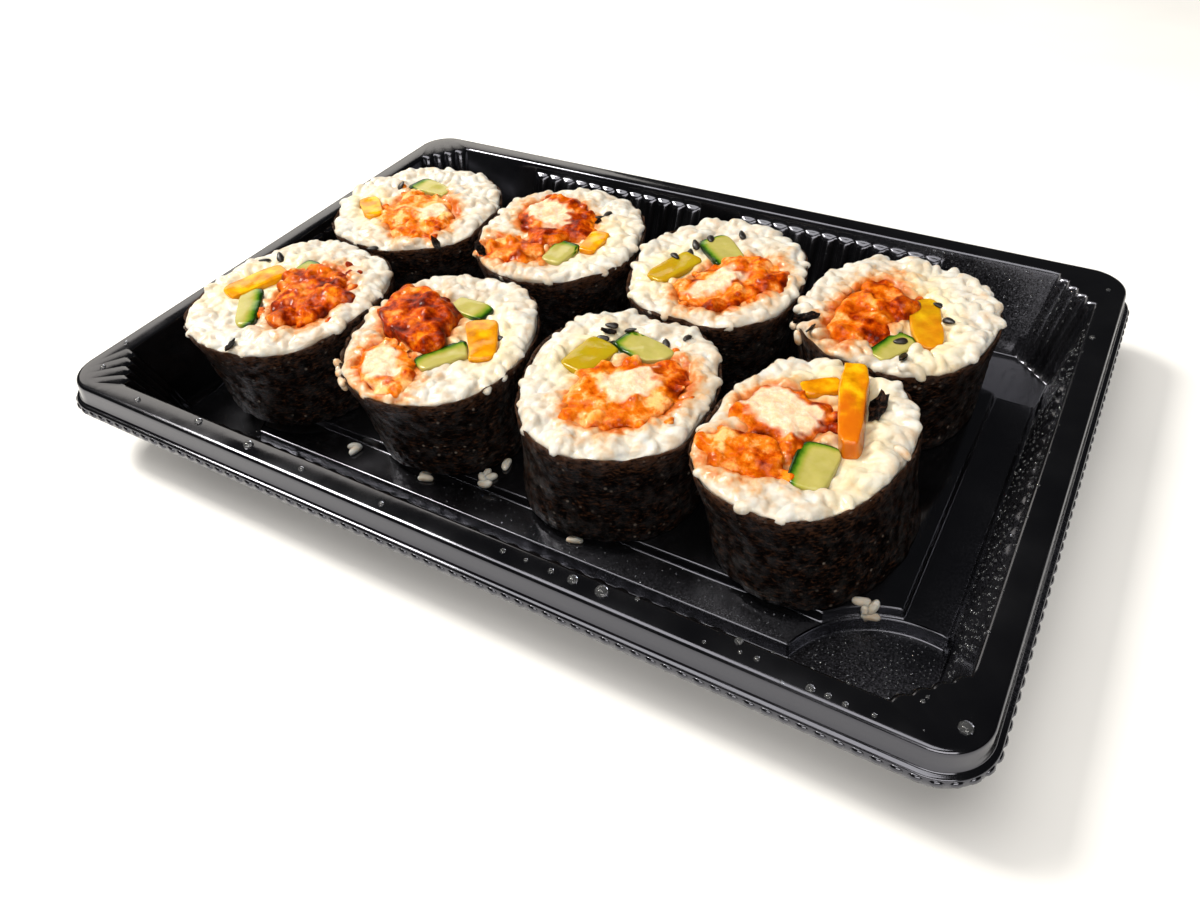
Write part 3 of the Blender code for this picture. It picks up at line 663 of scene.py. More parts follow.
def wall_loop(z, outset=0.0, ribs=0.0, scallops=0.0):
    """The walls at a height: ribbed on their straights, scalloped across their cut corners."""
    share = (RIM_Z - z) / (RIM_Z - WELL_Z)
    side_x = mix(MOUTH_X, FLOOR_X, share) + outset
    side_y = mix(MOUTH_Y, FLOOR_Y, share) + outset
    corner_x = mix(MOUTH_CORNER_X, FLOOR_CORNER_X, share) + outset * CORNER_OUTSET
    corner_y = mix(MOUTH_CORNER_Y, FLOOR_CORNER_Y, share) + outset * CORNER_OUTSET
    corner = []
    for along in CORNER_SHARES:
        depth = CORNER_FLUTE_DEPTH * scallops * abs(math.sin(math.pi * CORNER_FLUTES * along)) ** RIB_ROUNDNESS
        inward = depth * ALONG_DIAGONAL
        corner.append((mix(side_x, corner_x, along) - inward, mix(corner_y, side_y, along) - inward))
    depth = FLUTE_DEPTH * ribs
    half = SHORT_FLUTES_TO
    return quarter_loop(side_x, side_y, corner, lambda x, y: z,
                        lambda y: depth * rib(y + half, 0, 2 * half),
                        lambda x: depth * rib(x, *LONG_FLUTES))


def platform_loop(half_x, half_y, well, z, side_z=None):
    """A step's outline, cut away at its corners by the round wells; the short sides may lie higher."""
    start = math.asin((half_x - WELL_X) / well)
    end = -math.acos((WELL_Y - half_y) / well)
    angles = [mix(start, end, share) for share in CORNER_SHARES]
    corner = [(WELL_X + well * math.sin(angle), WELL_Y - well * math.cos(angle)) for angle in angles]
    side_z = z if side_z is None else side_z
    edge_y = corner[0][1]
    return quarter_loop(half_x, half_y, corner, lambda x, y: (
        mix(side_z, z, smooth(y, edge_y - 2.0, edge_y)) if x > half_x - 0.01 else z))


def floor_edge_loop(z, side_z, outset=0.0):
    edge_y = WELL_Y - WELL_RADIUS
    corner = [(mix(FLOOR_X, FLOOR_CORNER_X, share) + outset, mix(FLOOR_CORNER_Y, FLOOR_Y, share) + outset)
              for share in CORNER_SHARES]
    return quarter_loop(FLOOR_X + outset, FLOOR_Y + outset, corner, lambda x, y: (
        mix(side_z, z, smooth(y, edge_y - 1.5, edge_y + 0.5)) if x > FLOOR_CORNER_X - 0.4 else z))


def step_down(half_x, half_y, well, high, low, side_low=None):
    """A rounded step: its top edge, its riser and its foot."""
    loops = []
    for run, height in ((-0.5, high), (-0.15, high - 0.05), (0.0, high - 0.3), (0.35, low + 0.3),
                        (0.55, low + 0.06), (0.9, low)):
        drop = (high - height) / (high - low)
        side = None if side_low is None else mix(high, side_low, drop)
        loops.append(platform_loop(half_x + run, half_y + run, well - run, height, side))
    return loops


def make_tray(mat):
    """The tray's shell, in loops: over its floor, wall, rim, skirt and lip, and back underneath."""
    top = RIM_Z - FLUTE_TOP_DROP
    loops = [platform_loop(PLATEAU_X * 0.9, PLATEAU_Y * 0.85, WELL_RADIUS + 9, PLATEAU_Z)]
    loops += step_down(PLATEAU_X, PLATEAU_Y, WELL_RADIUS + 1.4, PLATEAU_Z, BAND_Z)
    loops += step_down(BAND_X, BAND_Y, WELL_RADIUS, BAND_Z, WELL_Z, SIDE_FOLD_Z)
    loops.append(floor_edge_loop(WELL_Z, SIDE_FOLD_Z, -0.3))
    loops.append(floor_edge_loop(WELL_Z + 0.15, SIDE_FOLD_Z + 0.15))
    for z, ribs in ((4.4, 0.6), (6.0, 0.9), (9.0, 1.0), (13.0, 1.0), (17.0, 1.0), (top - 1.0, 1.0),
                    (top - 0.4, 0.93), (top, 0.72), (top + 0.3, 0.4), (top + 0.5, 0.0)):
        loops.append(wall_loop(z, 0.0, ribs, min(1.0, z / 9.0)))
    for drop, outset, scallops in ((1.2, 0.0, 0.9), (0.6, 0.05, 0.7), (0.2, 0.25, 0.5), (0.0, 0.75, 0.3)):
        loops.append(wall_loop(RIM_Z - drop, outset, 0.0, scallops))
    edge = ((-2.6, 0.0), (-1.2, 0.0), (-0.6, 0.08), (-0.2, 0.35), (-0.02, 0.8), (0.05, 1.3), (0.3, 3.2),
            (SKIRT_DRAFT - 0.05, SKIRT_DROP - 0.45), (SKIRT_DRAFT + 0.15, SKIRT_DROP - 0.1),
            (SKIRT_DRAFT + 0.5, SKIRT_DROP), (LIP_REACH - 0.9, SKIRT_DROP + 0.1),
            (LIP_REACH - 0.65, SKIRT_DROP + 0.35), (LIP_REACH - 0.6, LIP_DROP - 0.3),
            (LIP_REACH - 0.7, LIP_DROP),
            (LIP_REACH - SHELL - 0.6, LIP_DROP), (LIP_REACH - SHELL - 0.6, SKIRT_DROP + SHELL + 0.3),
            (SKIRT_DRAFT - SHELL + 0.5, SKIRT_DROP + SHELL), (SKIRT_DRAFT - SHELL, SKIRT_DROP + SHELL - 0.3),
            (-SHELL, 1.3), (-1.5, SHELL))
    loops += [rim_loop(outset, RIM_Z - drop) for outset, drop in edge]
    loops += [wall_loop(RIM_Z - SHELL, SHELL + 0.5), wall_loop(RIM_Z - 1.6, SHELL), wall_loop(BAND_Z, SHELL),
              floor_edge_loop(0.0, SIDE_FOLD_Z - SHELL, -0.2),
              platform_loop(BAND_X - 0.4, BAND_Y - 0.4, WELL_RADIUS, 0.0, SIDE_FOLD_Z - SHELL),
              platform_loop(BAND_X - 0.8, BAND_Y - 0.8, WELL_RADIUS + 0.8, BAND_Z - SHELL),
              platform_loop(PLATEAU_X - 0.2, PLATEAU_Y - 0.2, WELL_RADIUS + 1.8, BAND_Z - SHELL),
              platform_loop(PLATEAU_X - 0.7, PLATEAU_Y - 0.7, WELL_RADIUS + 2.3, PLATEAU_Z - SHELL)]
    tray = make_loft("tray_shell", loops, mat)
    tray.data.set_sharp_from_angle(angle=math.radians(60))
    set_attributes(tray, mist=misted(places_of(tray)))
    return tray


def misted(places):
    """How misted the tray is at its places: most in its front right well and along its right wall."""
    x, y, z = places.T
    floor = z < BAND_Z + 1.3
    well = clip(1.3 - np.hypot(x - 86, y + 55) / 17) * floor
    wall = clip((x - 95.5) / 2.5) * clip((y + 66) / 12) * np.clip((10 - y) / 40, 0.25, 0.8)
    back = clip((y - 58) / 5) * clip((x - 20) / 60) * 0.6
    front = clip((-50.5 - y) / 3) * clip(x / 30) * clip((76 - x) / 8) * floor * 0.5
    return np.maximum.reduce([well, wall, back, front]) * (z < RIM_Z - 0.5)


# Trees that repeat a shape


def new_tree(name, sizes):
    """A tree with a geometry in and out, and named inputs for its sizes."""
    tree = bpy.data.node_groups.new(name, "GeometryNodeTree")
    tree.interface.new_socket("Geometry", in_out="INPUT", socket_type="NodeSocketGeometry")
    for socket, value in sizes.items():
        kind = {float: "Float", int: "Int"}.get(type(value), "Object")
        made = tree.interface.new_socket(socket, in_out="INPUT", socket_type=f"NodeSocket{kind}")
        if value is not None:
            made.default_value = value
    tree.interface.new_socket("Geometry", in_out="OUTPUT", socket_type="NodeSocketGeometry")
    return tree, add(tree, "NodeGroupInput").outputs


def end_tree(tree, shape, mat, points, rotation, scale=(1, 1, 1)):
    """Puts the shape on each point, makes the copies real, gives them their material and ends the tree."""
    info = add(tree, "GeometryNodeObjectInfo", {"Object": shape})
    placed = add(tree, "GeometryNodeInstanceOnPoints", {
        "Points": points, "Instance": info.outputs["Geometry"], "Rotation": rotation, "Scale": scale})
    real = add(tree, "GeometryNodeRealizeInstances", {"Geometry": placed.outputs["Instances"]})
    painted = add(tree, "GeometryNodeSetMaterial", {"Geometry": real.outputs["Geometry"], "Material": mat})
    add(tree, "NodeGroupOutput", {"Geometry": painted.outputs["Geometry"]})


def run_tree(obj, tree, sizes):
    """Runs a tree on an object and keeps the result as its plain mesh."""
    modifier = obj.modifiers.new("repeat", "NODES")
    modifier.node_group = tree
    for item in tree.interface.items_tree:
        if item.in_out == "INPUT" and item.name in sizes:
            modifier[item.identifier] = sizes[item.name]
    work_in(obj)
    obj.data.shade_smooth()


def scatter_tree(name, mat, tilt):
    """Shapes scattered over faces, each lying along the surface, turned at random and tilted a little."""
    tree, given = new_tree(name, {"Shape": None, "Spacing": 0.002, "Smallest": 0.8, "Largest": 1.1, "Seed": 1})
    seed = given["Seed"]
    bare = add(tree, "GeometryNodeInputNamedAttribute", {"Name": "bare"}, data_type="FLOAT")
    spots = add(tree, "GeometryNodeDistributePointsOnFaces",
                {"Mesh": given["Geometry"], "Distance Min": given["Spacing"], "Density Max": 4.0e6,
                 "Density Factor": bare.outputs["Attribute"], "Seed": seed}, distribute_method="POISSON")
    spin = add(tree, "FunctionNodeRandomValue",
               {0: (-tilt, -tilt, 0.0), 1: (tilt, tilt, math.tau), "Seed": seed}, data_type="FLOAT_VECTOR")
    turn = add(tree, "FunctionNodeEulerToRotation", {"Euler": spin.outputs[0]})
    laid = add(tree, "FunctionNodeRotateRotation",
               {"Rotation": spots.outputs["Rotation"], "Rotate By": turn.outputs[0]}, rotation_space="LOCAL")
    size = add(tree, "FunctionNodeRandomValue", {2: given["Smallest"], 3: given["Largest"], "Seed": seed},
               data_type="FLOAT")
    end_tree(tree, given["Shape"], mat, spots.outputs["Points"], laid.outputs["Rotation"], size.outputs[1])
    return tree


def grain_shape(name, length, width, height, bend, sides=8, rows=7):
    """A plump grain with blunt ends and a slight bend, lying along X."""
    loops = []
    for r in range(1, rows):
        along = -math.cos(math.pi * r / rows)
        girth = (1 - abs(along) ** 2.6) ** 0.5
        loops.append([(along * length / 2, math.cos(t) * width / 2 * girth + bend * along * along,
                       math.sin(t) * height / 2 * girth) for t in round_angles(sides)])
    points, faces = loft(loops)
    points[-2:] = [(-length / 2, bend, 0.0), (length / 2, bend, 0.0)]
    return make_piece(name, points, faces)


# The rolls


def turned(x, y, degrees):
    cos_turn = math.cos(math.radians(degrees))
    sin_turn = math.sin(math.radians(degrees))
    return (x * cos_turn - y * sin_turn, x * sin_turn + y * cos_turn)


def oval(length, width, turn, sides, squareness):
    """Points of a rounded oval about its middle."""
    points = []
    for angle in round_angles(sides, 0.5):
        c, s = math.cos(angle), math.sin(angle)
        u = length / 2 * math.copysign(abs(c) ** (2 / squareness), c)
        v = width / 2 * math.copysign(abs(s) ** (2 / squareness), s)
        points.append(turned(u, v, turn))
    return points


def support(points, towards):
    """How far a set of points reaches in a direction."""
    return max(x * towards[0] + y * towards[1] for x, y in points)


def pressed_outline(own, others, grow, directions=0):
    """An outline grown by a distance and pressed flat where it would run into its neighbours."""
    middle, points, grown = own
    for other_middle, other_points in others:
        away = (other_middle[0] - middle[0], other_middle[1] - middle[1])
        distance = math.hypot(*away)
        ways = [(away[0] / distance, away[1] / distance)]
        ways += [(math.cos(angle), math.sin(angle)) for angle in round_angles(directions)]
        gaps = [away[0] * way[0] + away[1] * way[1] - support(points, way)
                - support(other_points, (-way[0], -way[1])) for way in ways]
        gap, way = max(zip(gaps, ways))
        if gap < GAP:
            limit = support(points, way) - (GAP - gap) / 2 + grow
            excess = [max(x * way[0] + y * way[1] - limit, 0.0) for x, y in grown]
            grown = [(x - way[0] * over, y - way[1] * over) for (x, y), over in zip(grown, excess)]
    return grown


def share_down(z):
    """How far down a height lies between the rolls' faces and their feet."""
    return (FACE_Z - z) / (FACE_Z - STAND_Z)


def roll_middle(roll, z):
    return (roll.x + roll.lean_x * share_down(z), roll.y + roll.lean_y * share_down(z))


def roll_scale(roll, z):
    return mix(1.0, roll.taper, share_down(z))


def roll_oval(roll, z):
    scale = roll_scale(roll, z)
    return oval(roll.width * scale, roll.depth * scale, roll.turn, ROLL_SIDES, SQUARENESS)


def roll_outline(roll, z):
    """A roll's outline about its middle, pressed flat on its neighbours."""
    near = [other for other in ROLLS
            if other is not roll and math.hypot(other.x - roll.x, other.y - roll.y) < NEAR]
    own = (roll_middle(roll, z), roll_oval(roll, z), roll_oval(roll, z))
    return pressed_outline(own, [(roll_middle(other, z), roll_oval(other, z)) for other in near], -0.05)


def roll_row(roll, z, inset=0.0, shrink=1.0, heights=None):
    """A row of points round a roll, some way inside its outline."""
    middle_x, middle_y = roll_middle(roll, z)
    row = []
    for i, (x, y) in enumerate(roll_outline(roll, z)):
        reach = math.hypot(x, y)
        scale = shrink * (reach - inset) / reach
        row.append((middle_x + x * scale, middle_y + y * scale, heights[i] if heights else z))
    return row


def nori_tops(roll):
    """The wavy, slightly torn heights of the seaweed's upper edge."""
    heights = []
    for angle in round_angles(ROLL_SIDES, 0.5):
        wave = math.sin(3 * angle + roll.x) + math.sin(5 * angle + roll.y)
        torn = noise.noise(Vector((math.cos(angle) * 9, math.sin(angle) * 9, roll.x)))
        heights.append(FACE_Z - NORI_SHORT_OF_FACE * (1.4 + math.sin(angle)) + NORI_WAVE * wave + 0.5 * torn)
    return heights


def make_nori(roll, mat):
    """The sheet round the roll, drawn tight over the rice and wrinkled where it was wet."""
    end = FACE_Z - NORI_SHORT_OF_FACE
    tops = nori_tops(roll)
    rows = []
    for k in range(NORI_ROWS):
        share = k / (NORI_ROWS - 1)
        loose = math.sin(math.pi * min(max(share, 0.05), 0.95))
        z = mix(STAND_Z, end, share)
        middle_x, middle_y = roll_middle(roll, z)
        row = []
        for x, y, height in roll_row(roll, z, NORI_CLEAR, heights=[mix(STAND_Z, top, share) for top in tops]):
            broad = noise.noise(Vector((x * 0.15, y * 0.15, height * 0.12 + x * 0.04)))
            fold = abs(noise.noise(Vector((x * 0.22 + height * 0.12, y * 0.22, height * 0.16 + 7))))
            fine = noise.noise(Vector((x * 0.6, y * 0.6, height * 0.45)))
            inward = 0.7 * (1 + broad) * loose + 1.6 * max(0.0, 0.22 - fold) + 0.2 * fine
            scale = 1 - max(inward, -NORI_CLEAR) / math.hypot(x - middle_x, y - middle_y)
            row.append((middle_x + (x - middle_x) * scale, middle_y + (y - middle_y) * scale, height))
        rows.append(row)
    rows += [roll_row(roll, end, NORI + NORI_CLEAR, heights=[t - 0.05 for t in tops]),
             roll_row(roll, end - 3.0, NORI + 0.9), roll_row(roll, end - 6.0, 1.9),
             roll_row(roll, STAND_Z, 1.9)]
    piece = make_loft(f"{roll.name}_seaweed_sheet", rows, mat, ring=True)
    set_attributes(piece, edge=clip((places_of(piece)[:, 2] - (end - NORI_BROWNED)) / NORI_BROWNED) ** 2)
    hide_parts(f"{roll.name}_nori")
    return piece


def is_vegetable(filling):
    return filling.kind in ("radish", "cucumber")


def filling_points(filling):
    """A filling's outline about its own middle: square-cut for vegetables, uneven for chicken."""
    if is_vegetable(filling):
        point = filling.look.get("point", 0.15)
        return [turned(x, y * mix(1 - point, 1.0, x / filling.length + 0.5), filling.turn)
                for x, y in oval(filling.length, filling.width, 0, FILLING_SIDES, CUT_SQUARENESS)]
    outline = oval(filling.length, filling.width, filling.turn, FILLING_SIDES, SQUARENESS)
    uneven = [1 - 0.06 * (1 + math.sin(2.3 * i * 12 / FILLING_SIDES + filling.x))
              for i in range(FILLING_SIDES)]
    return [(x * share, y * share) for (x, y), share in zip(outline, uneven)]


def filling_outline(roll, filling):
    own = ((filling.x, filling.y), filling_points(filling), filling_points(filling))
    others = [((other.x, other.y), filling_points(other)) for other in roll.fillings if other is not filling]
    return pressed_outline(own, others, 0.0, directions=36)


def filling_row(roll, filling, outline, z, draw_in=1.0):
    """A row of points round a filling, leaning and tapering with its roll."""
    scale = roll_scale(roll, z)
    middle_x, middle_y = roll_middle(roll, z)
    return [(middle_x + (filling.x + x * draw_in) * scale, middle_y + (filling.y + y * draw_in) * scale, z)
            for x, y in outline]


def oval_depth(places, x, y, length, width, turn, squareness=2.0):
    """How deep places lie in a rounded oval, in millimetres: 0 on its edge and negative outside."""
    turn = math.radians(turn)
    away_x, away_y = places[:, 0] - x, places[:, 1] - y
    u = (away_x * math.cos(turn) + away_y * math.sin(turn)) / (length / 2)
    v = (-away_x * math.sin(turn) + away_y * math.cos(turn)) / (width / 2)
    out = (np.abs(u) ** squareness + np.abs(v) ** squareness) ** (1 / squareness)
    return (1 - out) * min(length, width) / 2


def filling_depth(roll, filling, places):
    return oval_depth(places, roll.x + filling.x, roll.y + filling.y, filling.length, filling.width,
                      filling.turn)


def under_skin(outline, away, turn):
    """How far places lie under the side of an outline that faces a direction, in millimetres."""
    ahead = np.array(turned(1.0, 0.0, turn))
    aside = np.array(turned(0.0, 1.0, turn))
    edge = [(float(np.dot(point, aside)), float(np.dot(point, ahead))) for point in outline]
    middle = sum(along for _, along in edge) / len(edge)
    facing = sorted(point for point in edge if point[1] > middle)
    return np.interp(away @ aside, [p[0] for p in facing], [p[1] for p in facing]) - away @ ahead


def make_vegetable(roll, filling, name, mat):
    """A bar of radish or a wedge of cucumber, cut clean through with the roll."""
    outline = filling_outline(roll, filling)
    top = FACE_Z + filling.rise + VEGETABLE_LIFT
    levels = [(STAND_Z, 0.98), (STAND_Z + 0.4, 1.0)]
    levels += [(mix(STAND_Z, top - 1.0, k / 8), 1.0) for k in range(1, 9)]
    levels += [(top - drop, draw_in) for drop, draw_in in (
        (0.5, 1.0), (0.22, 0.985), (0.06, 0.95), (0.0, 0.88), (-0.04, 0.74), (-0.06, 0.6), (-0.06, 0.45),
        (-0.05, 0.3), (-0.05, 0.15))]
    piece = make_loft(name, [filling_row(roll, filling, outline, z, draw_in) for z, draw_in in levels], mat)
    rumple(piece, 3.6, 0.4, filling.x)
    places = places_of(piece)
    away = places[:, :2] - np.array([roll.x + filling.x, roll.y + filling.y])
    if filling.kind == "cucumber":
        set_attributes(piece, skin=clip(1 - under_skin(outline, away, filling.look["skin"]) / SKIN_DEPTH))
    else:
        low_end = (away @ np.array(turned(1.0, 0.0, filling.turn))) / (filling.length / 2)
        patchy = noise_over(places, 0.35)
        set_attributes(piece, stain=filling.look["stain"] * clip(0.55 - 0.9 * low_end + 1.2 * patchy),
                       olive=filling.look["olive"])
    return piece


def lump(rng, x, y, z, size):
    """A low-sided, knobbly ball."""
    bm = bmesh.new()
    bmesh.ops.create_icosphere(bm, subdivisions=2, radius=1.0)
    shift = Vector((rng.random() * 50, rng.random() * 50, rng.random() * 50))
    stretch = Vector((rng.uniform(0.8, 1.25), rng.uniform(0.8, 1.25), rng.uniform(0.6, 0.9)))
    for vert in bm.verts:
        vert.co *= 1 + 0.35 * noise.noise(vert.co * 1.6 + shift)
        vert.co = (vert.co * stretch * size + Vector((x, y, z))) * MM
    return show("lump", end_edit(bm, "lump"))


def inside(outline, x, y, grown=1.0):
    """Whether a place lies in an outline, which may be drawn out from its middle."""
    outline = [(a * grown, b * grown) for a, b in outline]
    within = False
    for (ax, ay), (bx, by) in zip(outline, outline[1:] + outline[:1]):
        if (ay > y) != (by > y) and x < ax + (bx - ax) * (y - ay) / (by - ay):
            within = not within
    return within


def keep_in(piece, roll):
    """Draws a piece's lower points in behind the seaweed."""
    edge = sorted((math.atan2(y, x), math.hypot(x, y)) for x, y in roll_outline(roll, FACE_Z))
    angles, reaches = zip(*edge)
    for vert in piece.data.vertices:
        z = vert.co.z / MM
        if z < FACE_Z:
            middle_x, middle_y = roll_middle(roll, z)
            x, y = vert.co.x / MM - middle_x, vert.co.y / MM - middle_y
            reach = np.interp(math.atan2(y, x), angles, reaches, period=math.tau) * roll_scale(roll, z)
            pull = min((reach - TUCK_IN) / max(math.hypot(x, y), 1.0), 1.0)
            vert.co.x = (middle_x + x * pull) * MM
            vert.co.y = (middle_y + y * pull) * MM


def make_lumps(roll, filling, outline, top, rng):
    """The lumps of batter that cling to a piece of chicken, and crumbs round it, but none on its cut meat."""
    coat, meat = coat_of(filling), filling.look["meat"]
    room = roll_outline(roll, FACE_Z)
    lumps = []
    for _ in range(LUMP_TRIES):
        if len(lumps) >= filling.length * filling.width * coat.crowding:
            break
        x = rng.uniform(-0.5, 0.5) * filling.length * 1.3
        y = rng.uniform(-0.5, 0.5) * filling.length * 1.3
        if meat and oval_depth(np.array([[x, y]]), *meat)[0] > 0.3:
            continue
        size = rng.choice(coat.sizes)
        height = top - coat.sag - 0.66 * size + rng.uniform(-0.6, 0.9)
        if not inside(outline, x, y, 0.95):
            if not inside(outline, x, y, 1.4) or rng.random() < 0.6:
                continue
            size = rng.uniform(0.8, 1.5)
            height = FACE_Z + rng.uniform(-0.2, 0.3)
        if inside(room, filling.x + x, filling.y + y, 0.86):
            lumps.append(lump(rng, roll.x + filling.x + x, roll.y + filling.y + y, height, size))
    return lumps


def coat_of(filling):
    return STICKY_COAT if filling.look["glaze"] > STICKY_GLAZE else CRAGGY_COAT


def make_chicken(roll, filling, name, mat, seed):
    """A piece of fried chicken: cut meat, smooth and pale, in a craggy coat that clings in lumps."""
    outline = filling_outline(roll, filling)
    top = FACE_Z + filling.rise
    amount, meat, coat_kind = filling.look["glaze"], filling.look["meat"], coat_of(filling)
    rows = [filling_row(roll, filling, outline, top - drop, draw_in) for drop, draw_in in (
        (5.0, 0.95), (3.5, 0.97), (1.6, 0.96), (0.9, 0.9), (0.6, 0.7), (0.5, 0.4))]
    parts = [make_loft("body", rows, mat), *make_lumps(roll, filling, outline, top, random.Random(seed))]
    if meat:
        meat_x, meat_y = roll.x + filling.x + meat[0], roll.y + filling.y + meat[1]
        patch = oval(*meat[2:], FILLING_SIDES, CUT_SQUARENESS)
        rows = [[(meat_x + x * s, meat_y + y * s, top - drop) for x, y in patch]
                for drop, s in ((2.5, 1.0), (0.6, 0.98), (0.15, 0.9), (0.0, 0.7), (-0.1, 0.35))]
        parts.append(make_loft("cut_meat", rows, mat))
    piece = join_pieces(name, parts, mat)
    fuse(piece, COAT_VOXEL, coat_kind.melting)
    rumple(piece, 3.4, 0.9, seed)
    rumple(piece, 1.2, coat_kind.grit, seed + 3)
    places = places_of(piece)
    coat = np.ones(len(places))
    if meat:
        depth = oval_depth(places, meat_x, meat_y, *meat[2:], squareness=4.0)
        bare = clip((depth + 1.6 * noise_over(places, 0.5) + 0.4) / 1.2)
        coat = 1 - bare * clip((places[:, 2] - top + 2) / 1.5)
    # Painted shade: the dark glaze colour is laid on thicker low on the piece and towards its right side, away from
    # the lamps at the left, besides the real sauce.
    low = np.clip((top + 0.2 - places[:, 2]) / 2.0, 0.0, 0.6)
    pooled = (places[:, 0] - roll.x - filling.x) / filling.length
    glaze = clip((noise_over(places, 0.22, seed) * 1.3 + pooled + amount * 1.1 - 0.3) * 1.8) * coat
    rows = [filling_row(roll, filling, outline, z, 0.93) for z in (STAND_Z, top - 4.0)]
    root = make_loft("root", rows, mat)
    lighter = 0.5 * max(0.4 - amount, 0.0)
    set_attributes(piece, coat=coat, glaze=clip(glaze + low * amount), pale=lighter)
    set_attributes(root, coat=1.0, glaze=0.0, pale=lighter)
    piece = join_pieces(name, [piece, root], mat)
    keep_in(piece, roll)
    return piece


def make_core(roll, seed, mat):
    """The lumpy heap under the grains: it dips under the fillings, and its "bare" points bear grains."""
    below = FACE_Z - RICE_DEPTH
    edge = [min(top, FACE_Z) - 0.5 for top in nori_tops(roll)]
    rows = [roll_row(roll, below - 1.0, NORI + 1.3), roll_row(roll, FACE_Z - 1.5, NORI + 0.4),
            roll_row(roll, FACE_Z - 1.0, NORI + 0.6, heights=edge)]
    side_points = (len(rows) + 1) * ROLL_SIDES
    for drop, inset in ((0.3, 1.4), (0.05, 2.2), (-0.1, 3.4)):
        rows.append(roll_row(roll, FACE_Z, inset, heights=[FACE_Z - drop] * ROLL_SIDES))
    for k in range(1, FACE_RINGS):
        rows.append(roll_row(roll, FACE_Z, 3.4, 1 - k / FACE_RINGS, [FACE_Z + 0.15] * ROLL_SIDES))
    core = make_loft("core", rows, mat)
    rumple(core, 5.0, 1.5, seed, above=FACE_Z - 0.4)
    places = places_of(core)
    bare = np.ones(len(places))
    bare[:side_points] = 0.0
    bare[-2:] = (0.0, 1.0)
    under = np.zeros(len(places))
    for filling in roll.fillings:
        depth = filling_depth(roll, filling, places)
        room = 0.9 if is_vegetable(filling) else 0.2
        bare *= np.where(depth > -room, 0.0, 1.0)
        under = np.maximum(under, clip(depth + room + 0.5))
    under *= places[:, 2] > FACE_Z - 1.5
    for vert, low in zip(core.data.vertices, under):
        if low:
            vert.co.z = mix(vert.co.z, (FACE_Z - 0.6) * MM, low)
    set_attributes(core, bare=bare)
    return core


def make_rice(roll, tree, grain, mat, seed):
    """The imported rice: a heap and its grains, melted into one starchy skin and stained by the fillings."""
    below = FACE_Z - RICE_DEPTH
    stem = make_loft("stem", [roll_row(roll, z, inset) for z, inset in (
        (STAND_Z, 2.2), (below - 3.0, 2.2), (below - 0.5, NORI + 1.4), (below - 0.5, NORI + 3.0))], mat)
    core = make_core(roll, seed, mat)
    grains = show("grains", core.data.copy())
    run_tree(grains, tree, {"Shape": grain, "Spacing": GRAIN_SPACING * MM, "Smallest": 0.82, "Largest": 1.1,
                            "Seed": seed})
    film = join_pieces("film", [core, grains], mat)
    fuse(film, FILM_VOXEL, 5)
    push_out(film, lambda place: 0.2, above=FACE_Z - 1.0)
    piece = join_pieces(f"{roll.name}_rice_grains", [stem, film], mat)
    places = places_of(piece)
    stain = np.zeros(len(places))
    gold = np.zeros(len(places))
    for filling in roll.fillings:
        depth = filling_depth(roll, filling, places)
        if filling.kind in STAIN_REACH:
            stain = np.maximum(stain, 0.95 * clip(1.0 + depth / STAIN_REACH[filling.kind]) ** 2.2)
        if filling.kind == "radish":
            gold = np.maximum(gold, 0.5 * clip(1.0 + depth / 6.0))
    up = clip((places[:, 2] - FACE_Z + 2.5) / 2.0)
    set_attributes(piece, stain=stain * up, gold=gold * up * (1 - 0.6 * stain))
    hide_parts(f"{roll.name}_rice")
    return piece


def make_roll(roll, mats, tree, grain, seed):
    pieces = [make_nori(roll, mats["seaweed"]), make_rice(roll, tree, grain, mats["rice"], seed)]
    counts = {}
    for index, filling in enumerate(roll.fillings):
        counts[filling.kind] = counts.get(filling.kind, 0) + 1
        number = f"_{counts[filling.kind]}" if counts[filling.kind] > 1 else ""
        node = f"{roll.name}_{filling.kind}{number}"
        if is_vegetable(filling):
            piece = make_vegetable(roll, filling, f"{node}_cut", mats[filling.kind])
        else:
            piece = make_chicken(roll, filling, f"{node}_fried", mats["chicken"], seed * 7 + index)
        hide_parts(node)
        pieces.append(piece)
    return pieces


# What lies on the rolls and the tray


def surface_of(pieces):
    """A tree of all the faces of some pieces, to find what lies under a place."""
    points, faces = [], []
    for piece in pieces:
        start = len(points)
        points += [v.co.copy() for v in piece.data.vertices]
        faces += [[start + i for i in p.vertices] for p in piece.data.polygons]
    return BVHTree.FromPolygons(points, faces)


def lay(shape, surface, x, y, turn, sink=0.0, size=1.0, height=60.0, way=(0, 0, -1)):
    """A copy of a shape laid on the surface that a ray from a place meets, turned about it."""
    hit, normal, _, _ = surface.ray_cast(Vector((x, y, height)) * MM, Vector(way))
    if hit is None:
        print("nothing lies under", x, y)
        return None
    upright = normal.to_track_quat("Z", "Y").to_matrix().to_4x4()
    place = Matrix.Translation(hit - normal * sink * MM) @ upright
    copy = show(shape.name, shape.data.copy())
    copy.data.transform(place @ Matrix.Rotation(math.radians(turn), 4, "Z") @ Matrix.Scale(size, 4))
    return copy


def make_seeds(rolls, surface, mat):
    """Sesame seeds: flat drops, pointed at one end."""
    loops = []
    for r in range(1, 7):
        along = -math.cos(math.pi * r / 7)
        girth = math.sqrt(1 - along * along) * (1 - 0.35 * along)
        loops.append([(along * SEED_LENGTH / 2, math.cos(t) * SEED_WIDTH / 2 * girth,
                       math.sin(t) * SEED_HEIGHT / 2 * girth + SEED_HEIGHT / 4) for t in round_angles(8)])
    seed = make_loft("seed", loops, mat)
    copies = [lay(seed, surface, rolls[name].x + x, rolls[name].y + y, turn) for name, x, y, turn in SESAME]
    remove(seed)
    return join_pieces("sesame_seeds", copies, mat)


